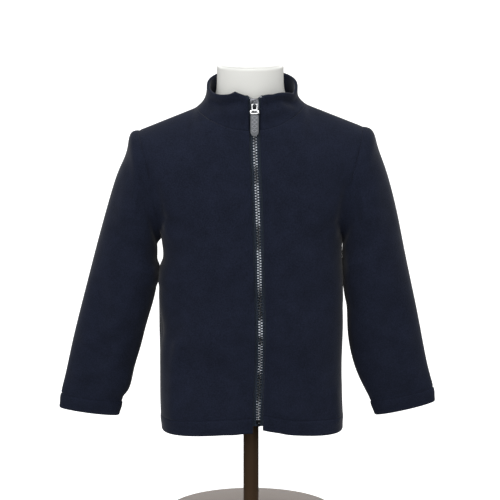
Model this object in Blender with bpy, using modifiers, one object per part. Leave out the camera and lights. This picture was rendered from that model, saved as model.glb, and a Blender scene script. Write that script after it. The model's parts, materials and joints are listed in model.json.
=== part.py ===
"""Fleece zip jacket, worn by a limbless dress form on a short tabletop stand.

Metres, +Z up. The front faces -Y and the wearer's right is at -X. The origin is the
centre of the stand base's underside. Heights in the cloth's tables count from the hem.
"""

import math

import bmesh
import bpy
import numpy as np
from mathutils import Matrix, Vector

# Driving sizes
HEM_HEIGHT = 0.140
CLOTH = 0.0025
DOUBLED = 0.0046
COLLAR_THICKNESS = 0.0042
SEAM_GAP = 0.0003
COLLAR_FOOT_GAPS = 1.4
UNDERARM = 0.250
CHEST_TOP = 0.330
NECK_HALF_WIDTH = 0.073
ARMHOLE_HALF_DEPTH = 0.050
SHOULDER_SEAM_Y = 0.004
SHOULDER_HALF_WIDTH = 0.150
SHOULDER_HEIGHTS = {"right": 0.3965, "left": 0.4015}
NECK_SIDE_HEIGHTS = {"right": 0.4275, "left": 0.4320}
# The neck seam's centre as depth and height, and how its curve bends between
NECK_CENTRES = {"front": (-0.0615, 0.4050), "back": (0.0600, 0.4340)}
NECK_DEPTH_BEND = 0.9
NECK_HEIGHT_BEND = 2.2

# Yoke: how a column leaves the chest, and how it arrives at the neck and at the shoulder
YOKE_LEAVE = 0.032
NECK_FORWARD = 0.007
NECK_BELOW = 0.030
SHOULDER_FORWARD = 0.038
SHOULDER_BELOW = 0.006
NECK_FAN = 0.008
NECK_FAN_COLUMNS = 2.2
SHOULDER_SLOPE = 0.4
YOKE_EASE = 0.6
# How far the hem hangs lower half way to the side seam, and at the side seam
HEM_SAG = 0.005
HEM_DROP = 0.009
HEM_SAG_REACH = 0.150

# Grid of a front panel: cells along the neckline, then along the shoulder seam
NECK_CELLS = 6
SHOULDER_CELLS = 6
PANEL_CELLS = NECK_CELLS + SHOULDER_CELLS
YOKE_CELLS = 5
YOKE_SMOOTHING = 6
COLLAR_CELLS = 5

# Zip sizes
ZIP_BOTTOM = 0.0015
ZIP_TOP = 0.460
ZIP_HALF_OPENING = 0.0070
ZIP_SPREAD_AT_TOP = 0.0016
TAPE_OUTER = 0.0135
TAPE_THICKNESS = 0.0009
TAPE_GAP = 0.0005
TAPE_SHORT_AT_TOP = 0.003
TAPE_DEPTH = CLOTH + TAPE_GAP + TAPE_THICKNESS / 2
BOX_LENGTH = 0.0120
BOX_THICKNESS = 0.0032
CHAIN_HALF_WIDTH = 0.0031
CHAIN_THICKNESS = 0.0024
SLIDER_HEIGHT = 0.4395
SLIDER_LENGTH = 0.0145
SLIDER_WIDTH = 0.0112
SLIDER_HALF_INSIDE = 0.0016
SLIDER_PLATE = 0.0014
FLOOR_SMALLER = 0.0004
SLIDER_NECK_WIDTH = 0.0028
SLIDER_NECK_LENGTH = 0.0040
NECK_SET_BACK = 0.0005
BRIDGE_LENGTH = 0.0110
BRIDGE_HALF_WIDTH = 0.0013
BRIDGE_CROWN = 0.0021
BRIDGE_CORNER = 0.0018
BRIDGE_BAND = 0.0012
BRIDGE_BEVEL = 0.0002
EYE_LENGTH = 0.0074
EYE_CLEAR = 0.0002
EYE_CORNER = 0.0010

# Pull: a metal frame with a window for the slider's bridge and a slot over the tab
PULL_AXIS_OUT = 0.0052
PULL_LEAN = -6.5
FRAME_LENGTH = 0.0137
FRAME_WIDTH = 0.0118
FRAME_THICKNESS = 0.0014
FRAME_BEVEL = 0.00025
FRAME_ARM_HALF = 0.0040
FRAME_BAR = 0.0007
FRAME_TAPER = 0.0003
FRAME_SHOULDER = -0.0072
FRAME_SLOPE = 0.0009
FRAME_CORNER = 0.0007
WINDOW_HALF = 0.0026
WINDOW_TAPER = 0.0002
WINDOW_FOOT = 0.0006
SLOT_WIDTH = 0.0068
SLOT_LENGTH = 0.0016
SLOT_TOP = -0.0098
SLOT_CORNER = 0.0006
TAB_LENGTH = 0.0284
TAB_WIDTH = 0.0108
TAB_THICKNESS = 0.0026
TAB_BEVEL = 0.0005
TAB_CORNER = 0.0012
TAB_ROUND_LENGTH = 0.0062
TAB_ROUND_STEPS = 10

# Form and stand
NECK_CENTRE_X = -0.001
NECK_RADIUS = 0.0445
NECK_TOP = 0.4850
NECK_RIM = 0.0035
# Shares of the way up from the neckline to the top at which the form's neck has a ring
NECK_SHARES = (0.07, 0.16, 0.28, 0.45, 0.70, 0.93)
NECK_FLARE = 5.0
FORM_BOTTOM = 0.024
FORM_CLEARANCE = 0.0004
FORM_EASE = 0.014
NECK_EASE = 0.0035
ZIP_EASE = 0.0060
POLE_RADIUS = 0.0104
BASE_RADIUS = 0.115
BASE_THICKNESS = 0.012
BASE_EDGE_RADIUS = 0.003

# Rings of the body. The two half widths are of the side seam, or of the armhole above
# the underarm. Front and back are the depths at the centre; bend is the ring's exponent,
# 2 for an ellipse and more for a boxier ring.
BODY_COLUMNS = ("height", "right", "left", "front", "back", "bend")
BODY_ROWS = (
    (0.000, 0.1215, 0.1250, 0.0865, 0.0860, 3.6),
    (0.030, 0.1230, 0.1240, 0.0870, 0.0860, 3.5),
    (0.080, 0.1235, 0.1230, 0.0875, 0.0855, 3.3),
    (0.140, 0.1245, 0.1245, 0.0880, 0.0850, 3.1),
    (0.185, 0.1242, 0.1230, 0.0880, 0.0845, 3.0),
    (0.205, 0.1222, 0.1222, 0.0875, 0.0840, 2.9),
    (0.230, 0.1185, 0.1212, 0.0865, 0.0835, 2.8),
    (0.250, 0.1205, 0.1215, 0.0855, 0.0830, 2.7),
    (0.290, 0.1260, 0.1260, 0.0830, 0.0820, 2.6),
    (0.330, 0.1330, 0.1330, 0.0785, 0.0790, 2.5),
)
PANEL_HEIGHTS = (0.0, 0.0208, 0.024, 0.055, 0.088, 0.120, 0.152, 0.182, 0.208, 0.232)
ARMHOLE_HEIGHTS = (0.250, 0.2535, 0.264, 0.281, 0.304, 0.330)

# The zip's line leans and waves a little: sideways place and extra depth by height
ZIP_COLUMNS = ("height", "across", "wave")
ZIP_ROWS = (
    (0.000, 0.0095, 0.0000),
    (0.040, 0.0100, 0.0016),
    (0.085, 0.0120, -0.0014),
    (0.130, 0.0128, 0.0016),
    (0.180, 0.0118, -0.0012),
    (0.225, 0.0108, 0.0014),
    (0.275, 0.0095, -0.0008),
    (0.330, 0.0075, 0.0006),
    (0.375, 0.0056, 0.0000),
    (0.460, 0.0046, 0.0000),
)

# Upper edge of the collar by the angle round the neck, from the zip to the back
COLLAR_COLUMNS = ("angle", "right", "left")
COLLAR_ROWS = (
    (0.0, 0.4510, 0.4510),
    (12.0, 0.4550, 0.4530),
    (28.0, 0.4515, 0.4575),
    (45.0, 0.4500, 0.4530),
    (60.0, 0.4515, 0.4500),
    (78.0, 0.4560, 0.4560),
    (95.0, 0.4620, 0.4625),
    (120.0, 0.4680, 0.4680),
    (150.0, 0.4720, 0.4720),
    (180.0, 0.4735, 0.4735),
)
COLLAR_HALF_WIDTHS = {"right": 0.0592, "left": 0.0625}
COLLAR_HALF_DEPTH = 0.0570
COLLAR_LEAN = 0.001
COLLAR_SIDE_LEAN = 0.011
COLLAR_RISE = 0.016
COLLAR_SIDE_RISE_LOSS = 0.008

# Rings of each sleeve: the outer and the inner point of the ring, its middle and depth
SLEEVE_COLUMNS = ("outer_x", "outer_h", "inner_x", "inner_h", "middle", "half_depth")
SLEEVE_RIGHT_ROWS = (
    (0.1595, 0.3945, 0.1250, 0.2450, 0.001, 0.0520),
    (0.1660, 0.3730, 0.1262, 0.2360, 0.000, 0.0535),
    (0.1760, 0.3470, 0.1264, 0.2220, -0.001, 0.0540),
    (0.1870, 0.3160, 0.1262, 0.2030, -0.002, 0.0530),
    (0.1980, 0.2780, 0.1285, 0.1800, -0.003, 0.0500),
    (0.2095, 0.2360, 0.1345, 0.1560, -0.004, 0.0465),
    (0.2215, 0.1900, 0.1425, 0.1290, -0.005, 0.0425),
    (0.2335, 0.1440, 0.1500, 0.1000, -0.006, 0.0380),
    (0.2445, 0.0980, 0.1590, 0.0690, -0.007, 0.0320),
    (0.2540, 0.0560, 0.1690, 0.0385, -0.008, 0.0240),
    (0.2575, 0.0415, 0.1745, 0.0300, -0.008, 0.0205),
    (0.2580, 0.0385, 0.1750, 0.0265, -0.008, 0.0200),
    (0.2610, 0.0175, 0.1795, 0.0065, -0.008, 0.0155),
)
SLEEVE_LEFT_ROWS = (
    (0.1605, 0.3985, 0.1250, 0.2450, 0.001, 0.0520),
    (0.1690, 0.3790, 0.1258, 0.2350, 0.000, 0.0535),
    (0.1780, 0.3530, 0.1258, 0.2200, -0.001, 0.0540),
    (0.1880, 0.3210, 0.1258, 0.2010, -0.002, 0.0530),
    (0.1975, 0.2820, 0.1272, 0.1790, -0.003, 0.0500),
    (0.2060, 0.2400, 0.1295, 0.1560, -0.004, 0.0465),
    (0.2155, 0.1950, 0.1305, 0.1280, -0.005, 0.0425),
    (0.2255, 0.1480, 0.1345, 0.0980, -0.006, 0.0380),
    (0.2340, 0.1040, 0.1440, 0.0660, -0.007, 0.0320),
    (0.2430, 0.0640, 0.1575, 0.0380, -0.008, 0.0240),
    (0.2470, 0.0495, 0.1615, 0.0290, -0.008, 0.0205),
    (0.2477, 0.0465, 0.1622, 0.0265, -0.008, 0.0200),
    (0.2505, 0.0260, 0.1685, 0.0070, -0.008, 0.0155),
)

# Largest folds: a soft ridge (+) or trough (-) along a line from one point to another,
# each point as distance across from the middle and height
FOLD_COLUMNS = ("x0", "h0", "x1", "h1", "half_width", "depth")
FRONT_FOLDS = (
    (0.030, 0.000, 0.024, 0.105, 0.013, -0.0075),
    (-0.020, 0.000, -0.014, 0.095, 0.012, 0.0030),
    (-0.108, 0.130, -0.040, 0.042, 0.024, -0.0050),
    (-0.078, 0.118, -0.030, 0.108, 0.018, 0.0030),
    (-0.100, 0.115, -0.104, 0.020, 0.009, 0.0045),
    (-0.086, 0.192, -0.112, 0.128, 0.020, -0.0035),
    (0.056, 0.162, 0.088, 0.064, 0.014, 0.0040),
    (0.086, 0.182, 0.060, 0.140, 0.020, -0.0035),
    (0.056, 0.088, 0.094, 0.026, 0.018, -0.0040),
)
BACK_FOLDS = (
    (-0.060, 0.010, -0.044, 0.130, 0.020, -0.0055),
    (0.050, 0.000, 0.064, 0.110, 0.018, -0.0060),
    (0.000, 0.020, 0.008, 0.120, 0.022, 0.0040),
    (-0.090, 0.150, -0.020, 0.205, 0.022, -0.0035),
    (0.095, 0.140, 0.030, 0.190, 0.022, -0.0035),
)

# Share of a fold's depth that is lost by its far end
FOLD_FADE = 0.45

UP = np.array([0.0, 0.0, 1.0])
SIDES = {"right": -1.0, "left": 1.0}
FACES = {"front": -1.0, "back": 1.0}


def table(columns, rows):
    """Return a table's columns by name, as arrays."""
    return dict(zip(columns, np.array(rows, float).T))


BODY = table(BODY_COLUMNS, BODY_ROWS)
ZIP = table(ZIP_COLUMNS, ZIP_ROWS)
COLLAR = table(COLLAR_COLUMNS, COLLAR_ROWS)
SLEEVES = {
    "right": table(SLEEVE_COLUMNS, SLEEVE_RIGHT_ROWS),
    "left": table(SLEEVE_COLUMNS, SLEEVE_LEFT_ROWS),
}
FOLDS = {
    "front": table(FOLD_COLUMNS, FRONT_FOLDS),
    "back": table(FOLD_COLUMNS, BACK_FOLDS),
}


def smooth(stations, values, at):
    """Read a smooth cubic curve through (stations, values) at the given places."""
    at = np.asarray(at, float)
    slopes = np.gradient(values, stations)
    i = np.clip(np.searchsorted(stations, at) - 1, 0, len(stations) - 2)
    span = stations[i + 1] - stations[i]
    t = np.clip((at - stations[i]) / span, 0.0, 1.0)
    bulge = span * (slopes[i] * t * (1 - t) ** 2 - slopes[i + 1] * t * t * (1 - t))
    step = t * t * (3 - 2 * t)
    return values[i] * (1 - step) + values[i + 1] * step + bulge


def even(points, count):
    """Resample a dense line of points into count + 1 points at even distances."""
    lengths = np.linalg.norm(np.diff(points, axis=0), axis=1)
    along = np.concatenate([[0.0], np.cumsum(lengths)])
    at = np.linspace(0.0, along[-1], count + 1)
    return np.stack([np.interp(at, along, points[:, k]) for k in range(points.shape[1])], -1)


def bezier(start, first, second, end, t):
    """Points at t on the cubic through start and end with the two middle handles."""
    t = np.asarray(t)[:, None, None]
    return (
        start * (1 - t) ** 3
        + first * 3 * t * (1 - t) ** 2
        + second * 3 * t * t * (1 - t)
        + end * t**3
    )


def front_edge(height, side):
    """Distance from the middle plane to a front's zip edge, positive towards its side."""
    spread = ZIP_SPREAD_AT_TOP * np.clip((height - SLIDER_HEIGHT) / 0.02, 0.0, 1.0)
    return SIDES[side] * smooth(ZIP["height"], ZIP["across"], height) + ZIP_HALF_OPENING + spread


def body_row(height, face, side):
    """One row of a panel, from the centre to the side seam or the armhole."""
    edge = smooth(BODY["height"], BODY[side], height)
    depth = smooth(BODY["height"], BODY[face], height)
    if face == "front":
        depth = depth + smooth(ZIP["height"], ZIP["wave"], height)
    bend = smooth(BODY["height"], BODY["bend"], height)
    rise = (CHEST_TOP - height) / (CHEST_TOP - UNDERARM)
    opening = ARMHOLE_HALF_DEPTH * math.sqrt(max(0.0, 1.0 - rise * rise)) if rise <= 1.0 else 0.0
    reach = edge / (1.0 - (opening / depth) ** bend) ** (1.0 / bend)
    start = float(front_edge(height, side)) if face == "front" else 0.0
    turn = [math.copysign(math.asin((abs(x) / reach) ** (bend / 2)), x) for x in (start, edge)]
    turn = np.linspace(turn[0], turn[1], 400)
    x = np.sign(turn) * reach * np.abs(np.sin(turn)) ** (2 / bend)
    y = depth * np.clip(np.cos(turn), 0.0, 1.0) ** (2 / bend)
    level = np.full_like(x, height)
    row = even(np.stack([SIDES[side] * x, FACES[face] * y, level], -1), PANEL_CELLS)
    across = np.linspace(0.0, 1.0, PANEL_CELLS + 1)
    sag = HEM_SAG * np.sin(np.pi * across) + HEM_DROP * across**3
    row[:, 2] -= sag * max(0.0, 1.0 - height / HEM_SAG_REACH)
    return row


def shoulder_tip(side):
    """The outer end of the shoulder seam, on top of the armhole."""
    return np.array([SIDES[side] * SHOULDER_HALF_WIDTH, SHOULDER_SEAM_Y, SHOULDER_HEIGHTS[side]])


def neck_side(side):
    """The inner end of the shoulder seam, on the neck seam."""
    return np.array([SIDES[side] * NECK_HALF_WIDTH, SHOULDER_SEAM_Y, NECK_SIDE_HEIGHTS[side]])


def neckline(face, side):
    """The neck seam of one quarter, from the centre to the shoulder seam."""
    centre_y, centre_h = NECK_CENTRES[face]
    corner = neck_side(side)
    start = float(front_edge(centre_h, side)) if face == "front" else 0.0
    turn = np.linspace(math.asin(start / NECK_HALF_WIDTH), math.pi / 2, 200)
    x = SIDES[side] * NECK_HALF_WIDTH * np.sin(turn)
    y = corner[1] + (centre_y - corner[1]) * np.clip(np.cos(turn), 0, 1) ** NECK_DEPTH_BEND
    level = centre_h + (corner[2] - centre_h) * np.abs(np.sin(turn)) ** NECK_HEIGHT_BEND
    return even(np.stack([x, y, level], -1), NECK_CELLS)


def top_row(face, side):
    """The neck seam and then the shoulder seam, as one row of the panel."""
    neck = neckline(face, side)
    t = np.linspace(0.0, 1.0, SHOULDER_CELLS + 1)[1:, None]
    shoulder = neck_side(side) * (1 - t) + shoulder_tip(side) * t
    return np.concatenate([neck, shoulder])


def panel(face, side):
    """Grid of the smooth outer surface of a quarter: rows up, columns to the side."""
    heights = PANEL_HEIGHTS + ARMHOLE_HEIGHTS
    rows = np.stack([body_row(height, face, side) for height in heights])
    chest = rows[-1]
    top = top_row(face, side)
    # How far each column has turned from rising in front to running over the shoulder
    column = np.arange(PANEL_CELLS + 1)
    turned = np.clip(column / NECK_CELLS, 0.0, 1.0)
    turned = turned * turned * (3 - 2 * turned)
    forward = NECK_FORWARD + (SHOULDER_FORWARD - NECK_FORWARD) * turned
    below = NECK_BELOW + (SHOULDER_BELOW - NECK_BELOW) * turned
    # Beside the neck's corner the columns fan out to the side
    fan = NECK_FAN * np.exp(-(((column - NECK_CELLS + 1) / NECK_FAN_COLUMNS) ** 2))
    below = below + SHOULDER_SLOPE * fan
    arrive = top + np.stack([SIDES[side] * fan, FACES[face] * forward, -below], -1)
    rising = chest - rows[-2]
    leave = chest + rising * (YOKE_LEAVE / rising[:, 2:])
    t = np.linspace(0.0, 1.0, YOKE_CELLS + 1)[1:]
    yoke = bezier(chest, leave, arrive, top, t)
    # Below the neck's corner the cloth eases from upright to sloping without a crease
    eased = (YOKE_EASE * (1.0 - t))[:, None, None]
    for _ in range(YOKE_SMOOTHING):
        yoke[:, 1:-1] += eased * ((yoke[:, :-2] + yoke[:, 2:]) / 2 - yoke[:, 1:-1])
    return np.concatenate([rows, yoke])


def sleeve(side, armhole):
    """Rings of a sleeve from its armhole loop, given from the top over the front and down."""
    rows = SLEEVES[side]
    sign = SIDES[side]
    count = len(armhole)
    half = count // 2
    # Turn of each point round the sleeve: 0 at the outside, a half turn at the inside
    steps = np.linalg.norm(np.diff(np.concatenate([armhole, armhole[:1]]), axis=0), axis=1)
    along = np.concatenate([[0.0], np.cumsum(steps)])
    turn = np.pi * np.concatenate(
        [along[:half] / along[half], 1 + (along[half:-1] - along[half]) / (along[-1] - along[half])]
    )
    top, bottom = armhole[0], armhole[half]
    centre, reach = (top + bottom) / 2, (top - bottom) / 2
    share = (armhole - centre) @ reach / (reach @ reach)
    rest = armhole - centre - share[:, None] * reach
    rings = [armhole]
    for k in range(len(rows["middle"])):
        outer = np.array([sign * rows["outer_x"][k], rows["middle"][k], rows["outer_h"][k]])
        inner = np.array([sign * rows["inner_x"][k], rows["middle"][k], rows["inner_h"][k]])
        settled = min(1.0, (k + 1) / 4)
        settled = settled * settled * (3 - 2 * settled)
        along_ring = (1 - settled) * share + settled * np.cos(turn)
        ring = (outer + inner) / 2 + along_ring[:, None] * (outer - inner) / 2
        ring = ring + (1 - settled) * rest
        ring[:, 1] -= settled * rows["half_depth"][k] * np.sin(turn)
        rings.append(ring)
    return np.stack(rings)


def collar(seam):
    """Rows of the collar from the neck seam, given from the right front to the left front."""
    half = len(seam) // 2
    angles = np.linspace(0.0, 180.0, half + 1)
    angles = np.concatenate([angles, angles[-2::-1]])
    names = ["right"] * (half + 1) + ["left"] * half
    top = np.empty_like(seam)
    for i, (angle, name) in enumerate(zip(angles, names)):
        # The zip's edge is where the ring starts, so the angle counts from there
        half_width = COLLAR_HALF_WIDTHS[name]
        start = math.asin(float(front_edge(ZIP_TOP, name)) / half_width)
        turn = start + (math.pi - start) * angle / 180
        level = float(smooth(COLLAR["angle"], COLLAR[name], angle))
        top[i] = (SIDES[name] * half_width * math.sin(turn), -COLLAR_HALF_DEPTH * math.cos(turn), level)
    outward = seam * np.array([1.0, 1.0, 0.0])
    outward /= np.linalg.norm(outward, axis=1)[:, None]
    sideways = np.abs(outward[:, :1])
    # It rises straight at front and back, and leans in over the shoulders first
    leaning = COLLAR_LEAN + COLLAR_SIDE_LEAN * sideways
    rising = COLLAR_RISE - COLLAR_SIDE_RISE_LOSS * sideways
    leave = seam - outward * leaning + UP * rising
    arrive = top - UP * COLLAR_RISE
    t = np.linspace(0.0, 1.0, COLLAR_CELLS + 1)[1:]
    return np.concatenate([seam[None], bezier(seam, leave, arrive, top, t)])


def grid_faces(rows, columns, closed):
    """Two triangles a cell of a grid of points, turning so that the outside is in front."""
    cells = columns if closed else columns - 1
    j, i = np.meshgrid(np.arange(rows - 1), np.arange(cells), indexing="ij")
    a = (j * columns + i).ravel()
    b = (j * columns + (i + 1) % columns).ravel()
    c = ((j + 1) * columns + (i + 1) % columns).ravel()
    d = ((j + 1) * columns + i).ravel()
    return np.concatenate([np.stack([a, b, c], -1), np.stack([a, c, d], -1)])


def shared_normals(grids, closed):
    """Outward normals of all grids, averaged where their points meet at a seam."""
    points = np.concatenate([grid.reshape(-1, 3) for grid in grids.values()])
    _, index = np.unique(np.round(points, 6), axis=0, return_inverse=True)
    index = index.reshape(-1)
    normals = np.zeros((index.max() + 1, 3))
    first = 0
    for name, grid in grids.items():
        faces = grid_faces(*grid.shape[:2], name in closed) + first
        corners = points[faces]
        facing = np.cross(corners[:, 1] - corners[:, 0], corners[:, 2] - corners[:, 0])
        for k in range(3):
            onward = corners[:, (k + 1) % 3] - corners[:, k]
            back = corners[:, (k + 2) % 3] - corners[:, k]
            cosine = (onward * back).sum(1)
            cosine /= np.linalg.norm(onward, axis=1) * np.linalg.norm(back, axis=1) + 1e-12
            angle = np.arccos(np.clip(cosine, -1, 1))
            length = np.linalg.norm(facing, axis=1) + 1e-15
            np.add.at(normals, index[faces[:, k]], facing * (angle / length)[:, None])
        first += grid.shape[0] * grid.shape[1]
    normals /= np.linalg.norm(normals, axis=1)[:, None]
    spread = normals[index]
    found = {}
    first = 0
    for name, grid in grids.items():
        size = grid.shape[0] * grid.shape[1]
        found[name] = spread[first : first + size].reshape(grid.shape)
        first += size
    return found


def fold_depth(points, face):
    """How far the folds move each point of a panel out (+) or in (-)."""
    folds = FOLDS[face]
    place = points[..., (0, 2)]
    moved = np.zeros(points.shape[:-1])
    for k in range(len(folds["depth"])):
        start = np.array([folds["x0"][k], folds["h0"][k]])
        run = np.array([folds["x1"][k], folds["h1"][k]]) - start
        t = (place - start) @ run / (run @ run)
        aside = np.linalg.norm(place - start - np.clip(t, 0, 1)[..., None] * run, axis=-1)
        fade = 1.0 - FOLD_FADE * np.clip(t, 0, 1)
        moved += folds["depth"][k] * fade * np.exp(-((aside / folds["half_width"][k]) ** 2))
    return moved


def seam_fade(shape):
    """Weight of the folds over a panel: nothing at its seams and all two cells inside."""
    rows, columns = shape
    j, i = np.meshgrid(np.arange(rows), np.arange(columns), indexing="ij")
    nearest = np.minimum(rows - 1 - j, np.minimum(i, columns - 1 - i))
    return np.clip(nearest / 2.0, 0.0, 1.0)


def seam_edges(name):
    """A piece's seams as (rows, columns, side): 1 where the piece lies above or after."""
    underarm = len(PANEL_HEIGHTS)
    sides = (slice(None, underarm + 1), slice(underarm, None))
    shoulder, neck = SHOULDER_CELLS, NECK_CELLS
    if name.startswith("sleeve"):
        return [(-1, slice(None), -1)]
    if name == "collar":
        return [(0, slice(None), 1)]
    if name == "back":
        tops = (
            slice(None, shoulder + 1),
            slice(shoulder, shoulder + 2 * neck + 1),
            slice(shoulder + 2 * neck, None),
        )
        columns = ((0, -1), (-1, 1))
    elif name == "front_right":
        tops = (slice(None, shoulder + 1), slice(shoulder, None))
        columns = ((0, -1),)
    else:
        tops = (slice(None, neck + 1), slice(neck, None))
        columns = ((-1, 1),)
    edges = [(-1, top, -1) for top in tops]
    edges += [(rows, column, sign) for column, sign in columns for rows in sides]
    return edges


def pulled_in(grid, normals, name):
    """Move a piece's seam edges half a seam gap towards its inside, along the cloth."""
    moved = grid.copy()
    for rows, columns, sign in seam_edges(name):
        line = grid[rows, columns]
        run = np.gradient(line, axis=0)
        if name.startswith("sleeve"):
            run = np.roll(line, -1, axis=0) - np.roll(line, 1, axis=0)
        inward = np.cross(normals[rows, columns], run)
        inward /= np.linalg.norm(inward, axis=1)[:, None]
        # The collar stands back more, where its foot turns sharply
        share = COLLAR_FOOT_GAPS if name == "collar" else 0.5
        moved[rows, columns] += sign * share * SEAM_GAP * inward
    return moved


def wall(outer, normals, thickness, closed):
    """Points and triangles of a closed wall: the outer grid, the inner grid and the rims."""
    inner = outer - normals * thickness[..., None]
    rows, columns = outer.shape[:2]
    points = np.concatenate([outer.reshape(-1, 3), inner.reshape(-1, 3)])
    faces = grid_faces(rows, columns, closed)
    size = rows * columns
    parts = [faces, faces[:, ::-1] + size]
    index = np.arange(size).reshape(rows, columns)
    rims = [index[0], index[-1, ::-1]]
    if closed:
        rims = [np.append(index[0], index[0, 0]), np.append(index[-1], index[-1, 0])[::-1]]
    else:
        rims += [index[::-1, 0], index[:, -1]]
    for rim in rims:
        a, b = rim[:-1], rim[1:]
        parts.append(np.stack([a, a + size, b + size], -1))
        parts.append(np.stack([a, b + size, b], -1))
    return points, np.concatenate(parts)


def material(name, colour, roughness, metallic=0.0):
    """A Principled BSDF material."""
    made = bpy.data.materials.new(name)
    made.use_nodes = True
    shader = made.node_tree.nodes["Principled BSDF"]
    shader.inputs["Base Color"].default_value = (*colour, 1.0)
    shader.inputs["Roughness"].default_value = roughness
    shader.inputs["Metallic"].default_value = metallic
    return made


def add_object(name, mesh, finish, collection):
    """Add a mesh as a named object with its material."""
    made = bpy.data.objects.new(name, mesh)
    made.data.materials.clear()
    made.data.materials.append(finish)
    collection.objects.link(made)
    return made


def add_mesh(name, points, faces, finish, collection):
    """Add points and faces, given from the hem, as a smooth-shaded object."""
    mesh = bpy.data.meshes.new(name)
    lifted = points + np.array([0.0, 0.0, HEM_HEIGHT])
    mesh.from_pydata(lifted.tolist(), [], faces.tolist())
    mesh.validate()
    mesh.shade_smooth()
    mesh.set_sharp_from_angle(angle=math.radians(50))
    return add_object(name, mesh, finish, collection)


def surfaces():
    """The cloth's outer grids by node, the bare panels for the form, and their folds."""
    quarters = {(f, s): panel(f, s) for f in FACES for s in SIDES}
    underarm = len(PANEL_HEIGHTS)
    grids = {
        "front_right": quarters["front", "right"][:, ::-1],
        "front_left": quarters["front", "left"],
        "back": np.concatenate(
            [quarters["back", "left"][:, ::-1], quarters["back", "right"][:, 1:]], axis=1
        ),
    }
    for side in SIDES:
        over = quarters["front", side][underarm:, -1][::-1]
        under = quarters["back", side][underarm + 1 : -1, -1]
        loop = np.concatenate([over, under])
        rings = sleeve(side, loop)
        # Rows run from the cuff to the armhole and columns to the left, as on the panels
        grids[f"sleeve_{side}"] = rings[::-1] if side == "right" else rings[::-1, ::-1]
    seam = np.concatenate(
        [
            quarters["front", "right"][-1, : NECK_CELLS + 1],
            quarters["back", "right"][-1, NECK_CELLS - 1 :: -1],
            quarters["back", "left"][-1, 1 : NECK_CELLS + 1],
            quarters["front", "left"][-1, NECK_CELLS - 1 :: -1],
        ]
    )
    grids["collar"] = collar(seam)[:, ::-1]
    return grids


def folded(grids, normals):
    """Push the folds into the panels, clear of their seams."""
    moved = dict(grids)
    for name, face in (("front_right", "front"), ("front_left", "front"), ("back", "back")):
        grid = grids[name]
        depth = fold_depth(grid, face) * seam_fade(grid.shape[:2])
        moved[name] = grid + normals[name] * depth[..., None]
    return moved


def thickness_of(name, shape):
    """Thickness of each point's wall: double at hems, cuffs and over the collar."""
    thickness = np.full(shape, CLOTH)
    if name == "collar":
        # The doubled cloth thins to one layer beside the zip, where the tape is let in
        columns = np.arange(shape[1])
        inside = np.clip(np.minimum(columns, columns[::-1]) / 2.0, 0.0, 1.0)
        risen = np.clip(np.arange(shape[0]) / 3.0, 0.0, 1.0)[:, None]
        thickness[:] = CLOTH + (COLLAR_THICKNESS - CLOTH) * inside * risen**1.5
    else:
        thickness[:2] = DOUBLED
    if name.startswith("front"):
        # Beside the zip the hem is trimmed to one layer and the tape
        thickness[:2, slice(0, 2) if name == "front_left" else slice(-2, None)] = CLOTH
    return thickness


def add_cloth(grids, normals, finish, collection):
    """The cloth's pieces, each a closed wall, a seam gap from its neighbours.

    Returns each piece's inner grid, which the zip's tapes lie against.
    """
    linings = {}
    for name, grid in grids.items():
        closed = name.startswith("sleeve")
        outer = pulled_in(grid, normals[name], name)
        thickness = thickness_of(name, grid.shape[:2])
        points, faces = wall(outer, normals[name], thickness, closed)
        add_mesh(name, points, faces, finish, collection)
        linings[name] = outer - normals[name] * thickness[..., None]
    return linings


def zip_line(grids):
    """Points up the zip on the cloth's outer surface, and the outward direction there."""
    right = np.concatenate([grids["front_right"][:, -1], grids["collar"][1:, -1]])
    left = np.concatenate([grids["front_left"][:, 0], grids["collar"][1:, 0]])
    middle = (right + left) / 2
    run = np.gradient(middle, axis=0)
    run[:, 0] = 0.0
    outward = np.cross(np.array([1.0, 0.0, 0.0]), run)
    outward /= np.linalg.norm(outward, axis=1)[:, None]
    return {"middle": middle, "outward": outward}


def stretch_of(line, low, high):
    """A line's stations between two heights, with one made at each end."""
    heights = line["middle"][:, 2]
    inside = (heights > low + 0.002) & (heights < high - 0.002)
    at = np.concatenate([[low], heights[inside], [high]])
    return {
        name: np.stack([np.interp(at, heights, values[:, k]) for k in range(3)], -1)
        for name, values in line.items()
    }


def ribbon(front, back):
    """Points and triangles of a thin strip from its front and its back grid."""
    direction = front - back
    thickness = np.linalg.norm(direction, axis=-1)
    return wall(front, direction / thickness[..., None], thickness, False)


def tape_grid(linings, line, side):
    """Front grid of a zip tape: against the cloth's inside, then bare beside the teeth."""
    first, second = (-1, -2) if side == "right" else (0, 1)
    front, neck = linings[f"front_{side}"], linings["collar"]
    edge = np.concatenate([front[:, first], neck[1:, first]])
    inside = np.concatenate([front[:, second], neck[1:, second]])
    run = inside - edge
    reach = TAPE_OUTER - ZIP_HALF_OPENING
    covered = edge + run * (reach / np.linalg.norm(run, axis=1))[:, None]
    # The bare part carries on from the edge, level with it, towards the other tape
    spread = np.clip(np.abs(edge[:, 0] - line["middle"][:, 0]) - ZIP_HALF_OPENING, 0.0, None)
    beside_teeth = CHAIN_HALF_WIDTH + TAPE_GAP + spread * (edge[:, 2] > SLIDER_HEIGHT)
    bare = edge.copy()
    bare[:, 0] = line["middle"][:, 0] + SIDES[side] * beside_teeth
    columns = [covered, edge, bare]
    if side == "left":
        columns = columns[::-1]
    grid = np.stack(columns, axis=1)
    return grid - line["outward"][:, None] * TAPE_GAP


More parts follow.
